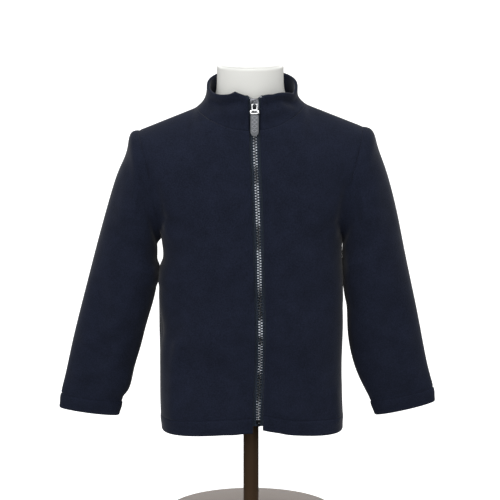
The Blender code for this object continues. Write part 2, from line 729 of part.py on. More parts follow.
def add_zip(linings, line, collection):
    """Tapes behind the fronts' edges, the closed chain and the box at its foot."""
    tape_finish = material("zip_tape", (0.010, 0.016, 0.024), 0.85)
    teeth_finish = material("zip_teeth", (0.55, 0.56, 0.58), 0.35, 0.6)
    for side in SIDES:
        grid = tape_grid(linings, line, side)
        # The tape stops short of the hem's edge and of the collar's upper edge
        grid[0, :, 2] += ZIP_BOTTOM
        grid[-1, :, 2] -= TAPE_SHORT_AT_TOP
        back = grid - line["outward"][:, None] * TAPE_THICKNESS
        points, faces = ribbon(grid, back)
        add_mesh(f"zip_tape_{side}", points, faces, tape_finish, collection)
    reach = np.array([CHAIN_HALF_WIDTH, 0.0, 0.0])
    under_slider = SLIDER_HEIGHT - SLIDER_LENGTH / 2 - SEAM_GAP
    for name, low, high, thickness in (
        ("zip_chain", ZIP_BOTTOM + BOX_LENGTH + SEAM_GAP, under_slider, CHAIN_THICKNESS),
        ("zip_box", ZIP_BOTTOM, ZIP_BOTTOM + BOX_LENGTH, BOX_THICKNESS),
    ):
        part = stretch_of(line, low, high)
        centre = part["middle"] - part["outward"] * TAPE_DEPTH
        half = part["outward"][:, None] * thickness / 2
        pair = np.stack([centre - reach, centre + reach], axis=1)
        points, faces = ribbon(pair + half, pair - half)
        add_mesh(name, points, faces, teeth_finish, collection)


def box(name, size, centre, collection):
    """A box with its size baked into the mesh."""
    bpy.ops.mesh.primitive_cube_add(size=1.0)
    made = bpy.context.object
    made.name = name
    for vertex in made.data.vertices:
        vertex.co = Vector(centre) + Vector(a * b for a, b in zip(vertex.co, size))
    for other in list(made.users_collection):
        other.objects.unlink(made)
    collection.objects.link(made)
    return made


def outline(name, loops, half_thickness, bevel, collection):
    """A flat plate from closed outlines, the first outside and the rest holes.

    It lies in its X-Y plane, and its mesh is welded so that it is one closed body.
    """
    curve = bpy.data.curves.new(name, "CURVE")
    curve.dimensions = "2D"
    curve.fill_mode = "BOTH"
    curve.extrude = half_thickness - bevel
    curve.bevel_depth = bevel
    curve.offset = -bevel
    curve.bevel_resolution = 1
    for loop in loops:
        spline = curve.splines.new("POLY")
        spline.points.add(len(loop) - 1)
        for point, place in zip(spline.points, loop):
            point.co = (*place, 0.0, 1.0)
        spline.use_cyclic_u = True
    guide = bpy.data.objects.new(name + "_guide", curve)
    collection.objects.link(guide)
    graph = bpy.context.evaluated_depsgraph_get()
    mesh = bpy.data.meshes.new_from_object(guide.evaluated_get(graph))
    bpy.data.objects.remove(guide, do_unlink=True)
    bpy.data.curves.remove(curve)
    shape = bmesh.new()
    shape.from_mesh(mesh)
    bmesh.ops.remove_doubles(shape, verts=shape.verts, dist=1e-6)
    bmesh.ops.recalc_face_normals(shape, faces=shape.faces)
    shape.to_mesh(mesh)
    shape.free()
    mesh.name = name
    return mesh


def rounded(width, top, bottom, radius, steps=4):
    """Outline of a rectangle with round corners, from its width, top and bottom."""
    half = width / 2
    corners = ((half, top, 0), (-half, top, 90), (-half, bottom, 180), (half, bottom, 270))
    points = []
    for x, y, start in corners:
        centre_x = x - math.copysign(radius, x)
        centre_y = y - radius if y == top else y + radius
        for k in range(steps + 1):
            turn = math.radians(start + 90 * k / steps)
            points.append((centre_x + radius * math.cos(turn), centre_y + radius * math.sin(turn)))
    return points


def tab_outline():
    """Outline of the rubber tab: square shoulders above, a half ellipse at its end."""
    half = TAB_WIDTH / 2
    low = -TAB_LENGTH + TAB_ROUND_LENGTH
    points = [(half - TAB_CORNER, 0.0), (-half + TAB_CORNER, 0.0), (-half, -TAB_CORNER)]
    for turn in np.linspace(math.pi, 2 * math.pi, TAB_ROUND_STEPS + 1):
        points.append((half * math.cos(turn), low + TAB_ROUND_LENGTH * math.sin(turn)))
    points.append((half, -TAB_CORNER))
    return points


def joined(base, others):
    """Union of a mesh object with others, which are then removed."""
    for other in others:
        modifier = base.modifiers.new("union", "BOOLEAN")
        modifier.operation = "UNION"
        modifier.solver = "EXACT"
        modifier.object = other
    graph = bpy.context.evaluated_depsgraph_get()
    mesh = bpy.data.meshes.new_from_object(base.evaluated_get(graph))
    name = base.name
    for used in [base, *others]:
        bpy.data.objects.remove(used, do_unlink=True)
    mesh.name = name
    return mesh


def add_slider(frame, collection):
    """The slider: two plates round the chain, the neck between them and the bridge."""
    length, width = SLIDER_LENGTH, SLIDER_WIDTH
    inside, plate = SLIDER_HALF_INSIDE, SLIDER_PLATE
    level = inside + plate / 2
    top = box("top_plate", (width, length, plate), (0, 0, level), collection)
    # The floor is a little smaller, so that no face of it is in line with the top's
    floor_size = (width - FLOOR_SMALLER, length - FLOOR_SMALLER, plate)
    floor = box("floor_plate", floor_size, (0, 0, -level), collection)
    neck_size = (SLIDER_NECK_WIDTH, SLIDER_NECK_LENGTH, 2 * inside + plate)
    neck_place = (0, (length - SLIDER_NECK_LENGTH) / 2 - NECK_SET_BACK, 0)
    neck = box("neck", neck_size, neck_place, collection)
    # The bridge is a band that stands on the top plate, with an eye for the pull
    crown = PULL_AXIS_OUT + BRIDGE_CROWN
    band = rounded(BRIDGE_LENGTH, crown, level, BRIDGE_CORNER)
    eye_floor = inside + plate + EYE_CLEAR
    eye = rounded(EYE_LENGTH, crown - BRIDGE_BAND, eye_floor, EYE_CORNER)
    bridge_mesh = outline("bridge", [band, eye], BRIDGE_HALF_WIDTH, BRIDGE_BEVEL, collection)
    bridge = bpy.data.objects.new("bridge", bridge_mesh)
    collection.objects.link(bridge)
    # Its outline's X runs along the zip and its Y out of the cloth
    bridge.matrix_world = Matrix(((0, 0, 1, 0), (1, 0, 0, 0), (0, 1, 0, 0), (0, 0, 0, 1)))
    mesh = joined(top, [floor, neck, bridge])
    gunmetal = material("slider_metal", (0.20, 0.20, 0.21), 0.30, 0.9)
    slider = add_object("zip_slider", mesh, gunmetal, collection)
    slider.matrix_world = frame


def loop_outlines():
    """Outlines of the pull's metal frame: its edge, the window and the slot for the tab."""
    half = FRAME_WIDTH / 2
    corner = FRAME_CORNER
    foot = -FRAME_LENGTH
    right_edge = [
        (FRAME_ARM_HALF, FRAME_BAR),
        (FRAME_ARM_HALF - FRAME_TAPER, FRAME_SHOULDER),
        (half, FRAME_SHOULDER - FRAME_SLOPE),
        (half, foot + corner),
        (half - corner, foot),
    ]
    left_edge = [(-x, y) for x, y in reversed(right_edge)]
    edge = [*left_edge[::-1], *right_edge[::-1]]
    window_foot = FRAME_SHOULDER + WINDOW_FOOT
    right_side = [(WINDOW_HALF, -FRAME_BAR), (WINDOW_HALF - WINDOW_TAPER, window_foot)]
    window = [*right_side, *[(-x, y) for x, y in reversed(right_side)]]
    slot = rounded(SLOT_WIDTH, SLOT_TOP, SLOT_TOP - SLOT_LENGTH, SLOT_CORNER, 2)
    return [edge, window, slot]


def add_pull(frame, collection):
    """The pull, hanging from the bridge: a metal frame and a rubber tab under it."""
    up = Vector((0.0, 0.0, 1.0))
    across = Vector((1.0, 0.0, 0.0))
    # Local axes: Y up towards the hinge, which is the origin, and Z out of the cloth
    rest = Matrix((across, up, across.cross(up))).transposed().to_4x4()
    rest = Matrix.Rotation(math.radians(PULL_LEAN), 4, "X") @ rest
    rest.translation = frame @ Vector((0.0, 0.0, PULL_AXIS_OUT))
    nickel = material("pull_metal", (0.60, 0.60, 0.61), 0.28, 0.9)
    rubber = material("pull_rubber", (0.13, 0.135, 0.145), 0.7)
    half = FRAME_THICKNESS / 2
    mesh = outline("pull_loop", loop_outlines(), half, FRAME_BEVEL, collection)
    loop = add_object("pull_loop", mesh, nickel, collection)
    loop.matrix_world = rest
    mesh = outline("pull_tab", [tab_outline()], TAB_THICKNESS / 2, TAB_BEVEL, collection)
    tab = add_object("pull_tab", mesh, rubber, collection)
    tab.matrix_world = rest @ Matrix.Translation((0.0, -FRAME_LENGTH - SEAM_GAP, 0.0))


def slider_frame(line):
    """The slider's place on the chain: X across, Y up along the zip and Z out of the cloth."""
    at = stretch_of(line, SLIDER_HEIGHT, SLIDER_HEIGHT + 0.001)
    out = Vector(at["outward"][0]).normalized()
    across = Vector((1.0, 0.0, 0.0))
    frame = Matrix((across, out.cross(across).normalized(), out)).transposed().to_4x4()
    lift = Vector((0.0, 0.0, HEM_HEIGHT))
    frame.translation = Vector(at["middle"][0]) - out * TAPE_DEPTH + lift
    return frame


class Skin:
    """Grids and flat caps that are welded into one closed surface."""

    def __init__(self):
        self.points = []
        self.faces = []
        self.count = 0

    def add(self, points, faces):
        """Add points with the triangles between them."""
        self.faces.append(faces + self.count)
        self.points.append(points)
        self.count += len(points)

    def add_grid(self, grid, closed=False):
        """Add a grid of points, open or closed round its rows."""
        self.add(grid.reshape(-1, 3), grid_faces(*grid.shape[:2], closed))

    def add_cap(self, loop):
        """Close a loop with triangles to its middle; it runs anticlockwise from outside."""
        count = len(loop)
        i = np.arange(count)
        faces = np.stack([i, (i + 1) % count, np.full(count, count)], -1)
        self.add(np.concatenate([loop, loop.mean(0, keepdims=True)]), faces)

    def welded(self):
        """Points and triangles with the points that meet made one."""
        points = np.concatenate(self.points)
        faces = np.concatenate(self.faces)
        _, first, index = np.unique(
            np.round(points, 6), axis=0, return_index=True, return_inverse=True
        )
        faces = index.reshape(-1)[faces]
        return points[first], faces


def add_form(collection):
    """The limbless form: the jacket's bare shape set back, flat at the arms, with a neck."""
    finish = material("form_white", (0.75, 0.75, 0.72), 0.45)
    quarters = {}
    for face in FACES:
        right, left = panel(face, "right"), panel(face, "left")
        if face == "front":
            # The two fronts meet under the zip
            middle = (right[:, :1] + left[:, :1]) / 2
            quarters[face] = np.concatenate([right[:, ::-1], middle, left], axis=1)
        else:
            quarters[face] = np.concatenate([left[:, ::-1], right[:, 1:]], axis=1)
    normals = shared_normals(quarters, set())
    rows = quarters["front"].shape[0]
    # Clearance by row: wide at the hem and waist, and resting at the shoulders
    below_top = (rows - 1 - np.arange(rows)) / (rows - 1)
    seat = np.clip((below_top - 2.5 / rows) * 2.2, 0.0, 1.0)
    clearance = {}
    for face, grid in quarters.items():
        columns = grid.shape[1]
        centre = (columns - 1) / 2
        from_middle = np.abs(np.arange(columns) - centre) / (centre - SHOULDER_CELLS)
        ease = NECK_EASE * (from_middle < 1.01)
        if face == "front":
            ease = ease + ZIP_EASE * np.clip(1.0 - from_middle, 0.0, 1.0)
        clearance[face] = CLOTH + FORM_CLEARANCE + FORM_EASE * seat[:, None] + ease
    first = PANEL_HEIGHTS.index(FORM_BOTTOM)
    shells = {
        face: (quarters[face] - normals[face] * clearance[face][..., None])[first:] for face in FACES
    }
    front, back = shells["front"], shells["back"]
    front[0, :, 2] = FORM_BOTTOM
    back[0, :, 2] = FORM_BOTTOM
    skin = Skin()
    skin.add_grid(front)
    skin.add_grid(back)
    skin.add_cap(np.concatenate([front[0], back[0, 1:-1]])[::-1])
    underarm = len(PANEL_HEIGHTS) - first
    skin.add_cap(np.concatenate([front[underarm:, 0], back[underarm + 1 : -1, -1][::-1]]))
    skin.add_cap(np.concatenate([front[underarm:, -1], back[underarm + 1 : -1, 0][::-1]])[::-1])
    corner = SHOULDER_CELLS
    seam = np.concatenate([front[-1, corner:-corner], back[-1, corner + 1 : -corner - 1]])
    turn = np.arctan2(seam[:, 1], seam[:, 0] - NECK_CENTRE_X)
    seam_radius = np.hypot(seam[:, 0] - NECK_CENTRE_X, seam[:, 1])
    sections = [
        (
            NECK_RADIUS + (seam_radius - NECK_RADIUS) * (1 - share) ** NECK_FLARE,
            seam[:, 2] + (NECK_TOP - seam[:, 2]) * share,
        )
        for share in NECK_SHARES
    ]
    level = np.ones(len(seam))
    sections += [
        (NECK_RADIUS - NECK_RIM * 0.3, level * (NECK_TOP - NECK_RIM * 0.05)),
        (NECK_RADIUS - NECK_RIM, level * (NECK_TOP + NECK_RIM * 0.25)),
    ]
    rings = [seam]
    for radius, height in sections:
        ring = [NECK_CENTRE_X + radius * np.cos(turn), radius * np.sin(turn), height]
        rings.append(np.stack(ring, -1))
    skin.add_grid(np.stack(rings), closed=True)
    skin.add_cap(rings[-1])
    points, faces = skin.welded()
    add_mesh("dress_form", points, faces, finish, collection)


def add_stand(collection):
    """The pole under the form and its round base, which stands on the surface."""
    bronze = material("stand_bronze", (0.10, 0.07, 0.045), 0.35, 0.85)
    low = BASE_THICKNESS + SEAM_GAP
    high = HEM_HEIGHT + FORM_BOTTOM - SEAM_GAP
    bpy.ops.mesh.primitive_cylinder_add(
        vertices=32, radius=POLE_RADIUS, depth=high - low, location=(0.0, 0.0, (low + high) / 2)
    )
    pole = bpy.context.object
    pole.name = "stand_pole"
    pole.data.materials.append(bronze)
    pole.data.shade_smooth()
    pole.data.set_sharp_from_angle(angle=math.radians(50))
    for other in list(pole.users_collection):
        other.objects.unlink(pole)
    collection.objects.link(pole)
    edge = BASE_EDGE_RADIUS
    corner = [
        (
            BASE_RADIUS - edge + edge * math.sin(math.radians(turn)),
            BASE_THICKNESS - edge + edge * math.cos(math.radians(turn)),
        )
        for turn in range(0, 91, 15)
    ]
    profile = [(0.0, BASE_THICKNESS), *corner, (BASE_RADIUS, 0.0), (0.0, 0.0)]
    mesh = bpy.data.meshes.new("stand_base")
    edges = [(k, k + 1) for k in range(len(profile) - 1)]
    mesh.from_pydata([(x, 0.0, z) for x, z in profile], edges, [])
    base = add_object("stand_base", mesh, bronze, collection)
    turn = base.modifiers.new("turn", "SCREW")
    turn.steps = turn.render_steps = 48
    turn.use_merge_vertices = True
    turn.merge_threshold = 0.00001


def main():
    """Build every sub-part into one collection."""
    for old in list(bpy.data.objects):
        bpy.data.objects.remove(old, do_unlink=True)
    collection = bpy.data.collections.new("fleece_zip_jacket")
    bpy.context.scene.collection.children.link(collection)
    fleece = material("navy_fleece", (0.013, 0.015, 0.026), 0.95)
    grids = surfaces()
    normals = shared_normals(grids, {"sleeve_right", "sleeve_left"})
    grids = folded(grids, normals)
    normals = shared_normals(grids, {"sleeve_right", "sleeve_left"})
    linings = add_cloth(grids, normals, fleece, collection)
    line = zip_line(grids)
    add_zip(linings, line, collection)
    frame = slider_frame(line)
    add_slider(frame, collection)
    add_pull(frame, collection)
    add_form(collection)
    add_stand(collection)


if __name__ == "__main__":
    main()
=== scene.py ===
"""Looks of the fleece zip jacket on its dress form: cloth, zip, pull, form and stand.

Metres, +Z up. The jacket's front faces -Y and the wearer's right is at -X. Heights in the
cloth's tables count from the hem, which is HEM_HEIGHT above the stand's underside.
"""

import itertools
import json
import logging
import math
from dataclasses import dataclass, field
from enum import Enum
from typing import Any, Sequence

import bmesh
import bpy
import numpy as np
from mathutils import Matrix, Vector


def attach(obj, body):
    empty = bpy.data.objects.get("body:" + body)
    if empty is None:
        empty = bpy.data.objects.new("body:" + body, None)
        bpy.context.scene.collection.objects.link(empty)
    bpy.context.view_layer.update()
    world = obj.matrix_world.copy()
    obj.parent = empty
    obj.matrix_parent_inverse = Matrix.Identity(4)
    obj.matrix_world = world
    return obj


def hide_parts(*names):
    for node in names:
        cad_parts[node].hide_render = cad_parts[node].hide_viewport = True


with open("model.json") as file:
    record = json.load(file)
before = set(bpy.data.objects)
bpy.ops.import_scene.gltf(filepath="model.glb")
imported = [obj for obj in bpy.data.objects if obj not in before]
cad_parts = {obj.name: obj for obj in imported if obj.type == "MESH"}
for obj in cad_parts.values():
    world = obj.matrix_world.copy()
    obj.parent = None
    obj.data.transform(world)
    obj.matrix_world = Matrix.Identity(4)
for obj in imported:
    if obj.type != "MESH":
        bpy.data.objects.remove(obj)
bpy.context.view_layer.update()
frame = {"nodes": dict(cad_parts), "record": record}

logging.basicConfig(level=logging.INFO, format="%(message)s")
LOG = logging.getLogger("jacket")

Array = np.ndarray
HEM_HEIGHT = 0.140
UP = np.array([0.0, 0.0, 1.0])
# Distances of the rows from a turned-up edge: round its fold, up to its stitching, and across that
FOLD_ROWS = np.array([0.0, 0.0003, 0.0008, 0.0016, 0.0027])
TURNED_ROWS = np.arange(0.0045, 0.0178, 0.0018)
STITCH_ROWS = np.arange(0.0180, 0.0246, 0.0006)


class Side(Enum):
    """A side of the wearer; the value is the sign of X there."""

    RIGHT = -1.0
    LEFT = 1.0

    @property
    def label(self) -> str:
        """The side's name in the parts' names."""
        return self.name.lower()


class Face(Enum):
    """Front or back of the jacket; the value is the sign of Y there."""

    FRONT = -1.0
    BACK = 1.0

    @property
    def label(self) -> str:
        """The face's name in the tables."""
        return self.name.lower()


# ---------------------------------------------------------------- numeric helpers


def table(columns: Sequence[str], rows: Sequence[Sequence[float]]) -> dict[str, Array]:
    """Name a table's columns.

    Args:
        columns: The columns' names.
        rows: The table's rows.

    Returns:
        Each column as an array, by name.
    """
    return dict(zip(columns, np.array(rows, float).T))


def eased(stations: Array, values: Array, at: Any) -> Array:
    """Read a smooth cubic curve through points, with slopes from their neighbours.

    Args:
        stations: Places of the given values, rising.
        values: The values there.
        at: Places to read.

    Returns:
        The curve's values at those places.
    """
    at = np.asarray(at, float)
    slopes = np.gradient(values, stations)
    i = np.clip(np.searchsorted(stations, at) - 1, 0, len(stations) - 2)
    span = stations[i + 1] - stations[i]
    t = np.clip((at - stations[i]) / span, 0.0, 1.0)
    bulge = span * (slopes[i] * t * (1 - t) ** 2 - slopes[i + 1] * t * t * (1 - t))
    step = t * t * (3 - 2 * t)
    return values[i] * (1 - step) + values[i + 1] * step + bulge


def spline(stations: Array, values: Array, at: Array) -> Array:
    """Read a natural cubic spline: the curve with the least bending through its points.

    Args:
        stations: Places of the given values, rising.
        values: One row of values a station.
        at: Places to read.

    Returns:
        One row of values a place.
    """
    flat = values.reshape(len(stations), -1)
    h = np.diff(stations)
    n = len(stations)
    system = np.eye(n)
    right = np.zeros_like(flat)
    rows = np.arange(1, n - 1)
    system[rows, rows - 1] = h[:-1]
    system[rows, rows] = 2 * (h[:-1] + h[1:])
    system[rows, rows + 1] = h[1:]
    slope = np.diff(flat, axis=0) / h[:, None]
    right[1:-1] = 6 * np.diff(slope, axis=0)
    bend = np.linalg.solve(system, right)
    i = np.clip(np.searchsorted(stations, at) - 1, 0, n - 2)
    a = ((stations[i + 1] - at) / h[i])[:, None]
    b = 1 - a
    square = (h[i] ** 2 / 6)[:, None]
    read = a * flat[i] + b * flat[i + 1]
    read = read + ((a**3 - a) * bend[i] + (b**3 - b) * bend[i + 1]) * square
    return read.reshape((len(at),) + values.shape[1:])


def even(points: Array, count: int) -> Array:
    """Resample a line of points into count + 1 points at even distances along it.

    Args:
        points: The line, one point a row.
        count: Steps to make.

    Returns:
        The points.
    """
    lengths = np.linalg.norm(np.diff(points, axis=0), axis=1)
    along = np.concatenate([[0.0], np.cumsum(lengths)])
    at = np.linspace(0.0, along[-1], count + 1)
    return np.stack([np.interp(at, along, points[:, k]) for k in range(points.shape[1])], -1)


def bezier(start: Array, first: Array, second: Array, end: Array, t: Array) -> Array:
    """Points at t on the cubic from start to end with two middle handles.

    Args:
        start: Points where it starts.
        first: Its first handles.
        second: Its second handles.
        end: Points where it ends.
        t: Shares of the way along.

    Returns:
        One row of points a share.
    """
    t = t[:, None, None]
    s = 1 - t
    return start * s**3 + first * 3 * t * s**2 + second * 3 * t * t * s + end * t**3


def normals_of(grid: Array, closed: bool = False) -> Array:
    """Outward unit normals of a grid: its columns' direction crossed with its rows'.

    Args:
        grid: Points by row and column.
        closed: True where the last column meets the first.

    Returns:
        One normal a point.
    """
    if closed:
        across = np.roll(grid, -1, axis=1) - np.roll(grid, 1, axis=1)
    else:
        across = np.gradient(grid, axis=1)
    normal = np.cross(across, np.gradient(grid, axis=0))
    return normal / (np.linalg.norm(normal, axis=-1, keepdims=True) + 1e-15)


def resampled(grid: Array, at: Array) -> Array:
    """A grid's columns read at the given column positions, with straight steps between.

    Args:
        grid: Points by row and column.
        at: Column positions, whole or between.

    Returns:
        The grid with those columns.
    """
    low = np.clip(np.floor(at).astype(int), 0, grid.shape[1] - 2)
    share = (at - low)[None, :, None]
    return grid[:, low] * (1 - share) + grid[:, low + 1] * share


def edge_distance(grid: Array, axis: int, from_end: bool) -> Array:
    """Each point's distance along the cloth from the grid's first or last line.

    Args:
        grid: Points by row and column.
        axis: 0 to measure along the columns, 1 along the rows.
        from_end: True to measure from the last line.

    Returns:
        One distance a point.
    """
    steps = np.linalg.norm(np.diff(grid, axis=axis), axis=-1)
    zero = np.zeros_like(np.take(steps, [0], axis=axis))
    along = np.cumsum(np.concatenate([zero, steps], axis=axis), axis=axis)
    return np.take(along, [-1], axis=axis) - along if from_end else along


def turned_edge(distance: Array, radius: float) -> Array:
    """How far a rounded edge's face falls back from flat: a quarter circle of that radius."""
    inside = radius - np.minimum(distance, radius)
    return radius - np.sqrt(np.maximum(radius**2 - inside**2, 0.0))


def bell(at: Any, middle: Any, reach: float, power: int = 2) -> Any:
    """One at the middle and falling off past its reach; a higher power flattens its top."""
    return np.exp(-(((at - middle) / reach) ** power))


def soft_step(x: Array) -> Array:
    """Zero below 0, one above 1, and an S curve between."""
    x = np.clip(x, 0.0, 1.0)
    return x * x * (3 - 2 * x)


# ---------------------------------------------------------------- mesh helpers


def grid_quads(rows: int, columns: int, closed: bool = False, first: int = 0) -> Array:
    """Quads of a grid of points, numbered row by row from first.

    Args:
        rows: Rows of points.
        columns: Points a row.
        closed: True where the last column meets the first.
        first: The first point's number.

    Returns:
        Four corners a face.
    """
    cells = columns if closed else columns - 1
    j, i = np.meshgrid(np.arange(rows - 1), np.arange(cells), indexing="ij")
    a = j * columns + i
    b = j * columns + (i + 1) % columns
    return np.stack([a, b, b + columns, a + columns], -1).reshape(-1, 4) + first


def fan(start: Array, end: Array, middle: int) -> Array:
    """Triangles from each edge, start to end, to one middle point; each repeats its last corner.

    Args:
        start: Numbers of the edges' first points.
        end: Numbers of their second points.
        middle: The middle point's number.

    Returns:
        Four corners a face.
    """
    centre = np.full(len(start), middle)
    return np.stack([start, end, centre, centre], -1)


def shell_faces(rows: int, columns: int, closed: bool) -> Array:
    """Quads of a closed wall: an outer grid, an inner grid after it, and the rims.

    Args:
        rows: Rows of points in each grid.
        columns: Points a row.
        closed: True for a tube.

    Returns:
        Four corners a face.
    """
    size = rows * columns
    faces = grid_quads(rows, columns, closed)
    parts = [faces, faces[:, ::-1] + size]
    index = np.arange(size).reshape(rows, columns)
    if closed:
        rims = [np.append(index[0], index[0, 0]), np.append(index[-1], index[-1, 0])[::-1]]
    else:
        rims = [index[0], index[-1, ::-1], index[::-1, 0], index[:, -1]]
    for rim in rims:
        a, b = rim[:-1], rim[1:]
        parts.append(np.stack([a, a + size, b + size, b], -1))
    return np.concatenate(parts)


def make_piece(
    name: str, points: Array, quads: Array, finish: "Finish", sharp: float = 180.0
) -> bpy.types.Object:
    """Put points and quads into a smooth-shaded object at the origin.

    Args:
        name: The piece's name.
        points: Its vertices.
        quads: Its faces, four corners each; a triangle repeats its last corner.
        finish: Its finish.
        sharp: Edges that turn more than this many degrees stay sharp.

    Returns:
        The object, linked to the scene.
    """
    mesh = bpy.data.meshes.new(name)
    repeated = quads[:, 2] == quads[:, 3]
    triangles, fours = quads[repeated][:, :3], quads[~repeated]
    corners = np.concatenate([fours.ravel(), triangles.ravel()]).astype(np.int32)
    sizes = np.concatenate([np.full(len(fours), 4), np.full(len(triangles), 3)])
    starts = np.concatenate([[0], np.cumsum(sizes)[:-1]]).astype(np.int32)
    mesh.vertices.add(len(points))
    mesh.vertices.foreach_set("co", np.ascontiguousarray(points, np.float32).ravel())
    mesh.loops.add(len(corners))
    mesh.loops.foreach_set("vertex_index", corners)
    mesh.polygons.add(len(sizes))
    mesh.polygons.foreach_set("loop_start", starts)
    mesh.update(calc_edges=True)
    mesh.validate()
    mesh.shade_smooth()
    mesh.set_sharp_from_angle(angle=math.radians(sharp))
    made = bpy.data.objects.new(name, mesh)
    bpy.context.scene.collection.objects.link(made)
    made.data.materials.append(finish.material())
    return made


def placed(
    piece: bpy.types.Object, node: str | None = None, body: str = "jacket"
) -> bpy.types.Object:
    """Let a piece ride its body and stand for its solid, which it hides.

    Args:
        piece: The piece.
        node: The solid that it stands for, if any.
        body: The body that it rides on.

    Returns:
        The same piece.
    """
    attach(piece, body)
    if node:
        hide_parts(node)
    return piece


def copies(points: Array, quads: Array, places: Array, axes: Array) -> tuple[Array, Array]:
    """Repeat a small shape at many places, each turned to its own axes.

    Args:
        points: The shape's vertices.
        quads: Its faces.
        places: One origin a copy.
        axes: One 3 x 3 matrix a copy, whose rows are the shape's axes in the world.

    Returns:
        Vertices and faces of all copies.
    """
    spread = np.einsum("vk,nkc->nvc", points, axes) + places[:, None]
    offset = (np.arange(len(places)) * len(points))[:, None, None]
    return spread.reshape(-1, 3), (quads[None] + offset).reshape(-1, 4)


def chamfered_box(size: Sequence[float], chamfer: float) -> tuple[Array, Array]:
    """A box with cut edges: four rings of eight points, the outer two drawn in.

    Args:
        size: Its full size along X, Y and Z.
        chamfer: Width of the cut.

    Returns:
        Vertices and quads.
    """
    half = np.array(size) / 2
    x, y, c = half[0], half[1], chamfer
    ring = np.array(
        [[x, -y + c], [x, y - c], [x - c, y], [-x + c, y], [-x, y - c], [-x, -y + c],
         [-x + c, -y], [x - c, -y]]
    )
    inner = ring * (1 - c / np.array([x, y]))
    levels = [-half[2], -half[2] + c, half[2] - c, half[2]]
    rings = [inner, ring, ring, inner]
    grid = np.stack([np.column_stack([r, np.full(8, z)]) for r, z in zip(rings, levels)])
    quads = grid_quads(4, 8, closed=True)
    caps = np.array([[0, 7, 6, 5], [0, 5, 4, 1], [4, 3, 2, 1]])
    tops = caps[:, ::-1] + 24
    return grid.reshape(-1, 3), np.concatenate([quads, caps, tops])


def turned_solid(profile: Array, steps: int) -> tuple[Array, Array]:
    """A profile of (radius, height) turned about Z, with a point at each end on the axis.

    Args:
        profile: Radius and height, from the bottom's edge up to the top's edge.
        steps: Points round it.

    Returns:
        Vertices and quads.
    """
    turn = np.linspace(0, 2 * np.pi, steps, endpoint=False)
    x = profile[:, :1] * np.cos(turn)
    y = profile[:, :1] * np.sin(turn)
    z = np.repeat(profile[:, 1:], steps, axis=1)
    grid = np.stack([x, y, z], -1)
    ends = np.array([[0, 0, profile[0, 1]], [0, 0, profile[-1, 1]]])
    count = len(profile)
    i = np.arange(steps)
    onward = (i + 1) % steps
    low, high = count * steps, count * steps + 1
    last = (count - 1) * steps
    caps = [fan(onward, i, low), fan(last + i, last + onward, high)]
    quads = np.concatenate([grid_quads(count, steps, closed=True), *caps])
    return np.concatenate([grid.reshape(-1, 3), ends]), quads


class Skin:
    """Grids, fans and copies gathered into one piece, and welded where they are to be one skin."""

    def __init__(self) -> None:
        """Start with nothing."""
        self.points: list[Array] = []
        self.quads: list[Array] = []
        self.count = 0

    def add(self, points: Array, quads: Array) -> None:
        """Add points and the faces between them."""
        self.quads.append(quads + self.count)
        self.points.append(points)
        self.count += len(points)

    def add_grid(self, grid: Array, closed: bool = False) -> None:
        """Add a grid of points, open or closed round its rows."""
        self.add(grid.reshape(-1, 3), grid_quads(*grid.shape[:2], closed))

    def add_cap(self, loop: Array) -> None:
        """Close a loop with a fan to its middle; it runs anticlockwise from outside.

        Args:
            loop: Its points.
        """
        count = len(loop)
        i = np.arange(count)
        points = np.concatenate([loop, loop.mean(0, keepdims=True)])
        self.add(points, fan(i, (i + 1) % count, count))

    def joined(self) -> tuple[Array, Array]:
        """All points and faces, as they were added."""
        return np.concatenate(self.points), np.concatenate(self.quads)

    def welded(self) -> tuple[Array, Array]:
        """Points and faces, with the points that meet made one.

        Returns:
            The points, and four corners a face.
        """
        points, quads = self.joined()
        _, first, index = np.unique(
            np.round(points, 6), axis=0, return_index=True, return_inverse=True
        )
        return points[first], index.reshape(-1)[quads]


# ---------------------------------------------------------------- finishes


def linear(colour: str) -> tuple[float, float, float, float]:
    """Turn an sRGB hex colour to linear red, green, blue and alpha.

    Args:
        colour: The colour, such as "#20232f".

    Returns:
        The four values, from 0 to 1.
    """
    values = np.array([int(colour[k : k + 2], 16) for k in (1, 3, 5)]) / 255
    low = values / 12.92
    high = ((values + 0.055) / 1.055) ** 2.4
    return (*np.where(values <= 0.04045, low, high).tolist(), 1.0)


def add_node(tree: bpy.types.NodeTree, kind: str, settings: dict[str, Any], **links: Any) -> Any:
    """Add a node with its settings and links.

    Args:
        tree: The material's tree.
        kind: The node's type.
        settings: Values of its properties, or of its inputs by name or number.
        links: Its inputs by name, with _ for a space, and what feeds each: a node's output.

    Returns:
        The node.
    """
    node = tree.nodes.new(kind)
    for name, value in settings.items():
        if isinstance(name, str) and hasattr(node, name):
            setattr(node, name, value)
        else:
            node.inputs[name].default_value = value
    for name, source in links.items():
        key = int(name[1:]) if name[0] == "i" and name[1:].isdigit() else name.replace("_", " ")
        tree.links.new(source, node.inputs[key])
    return node


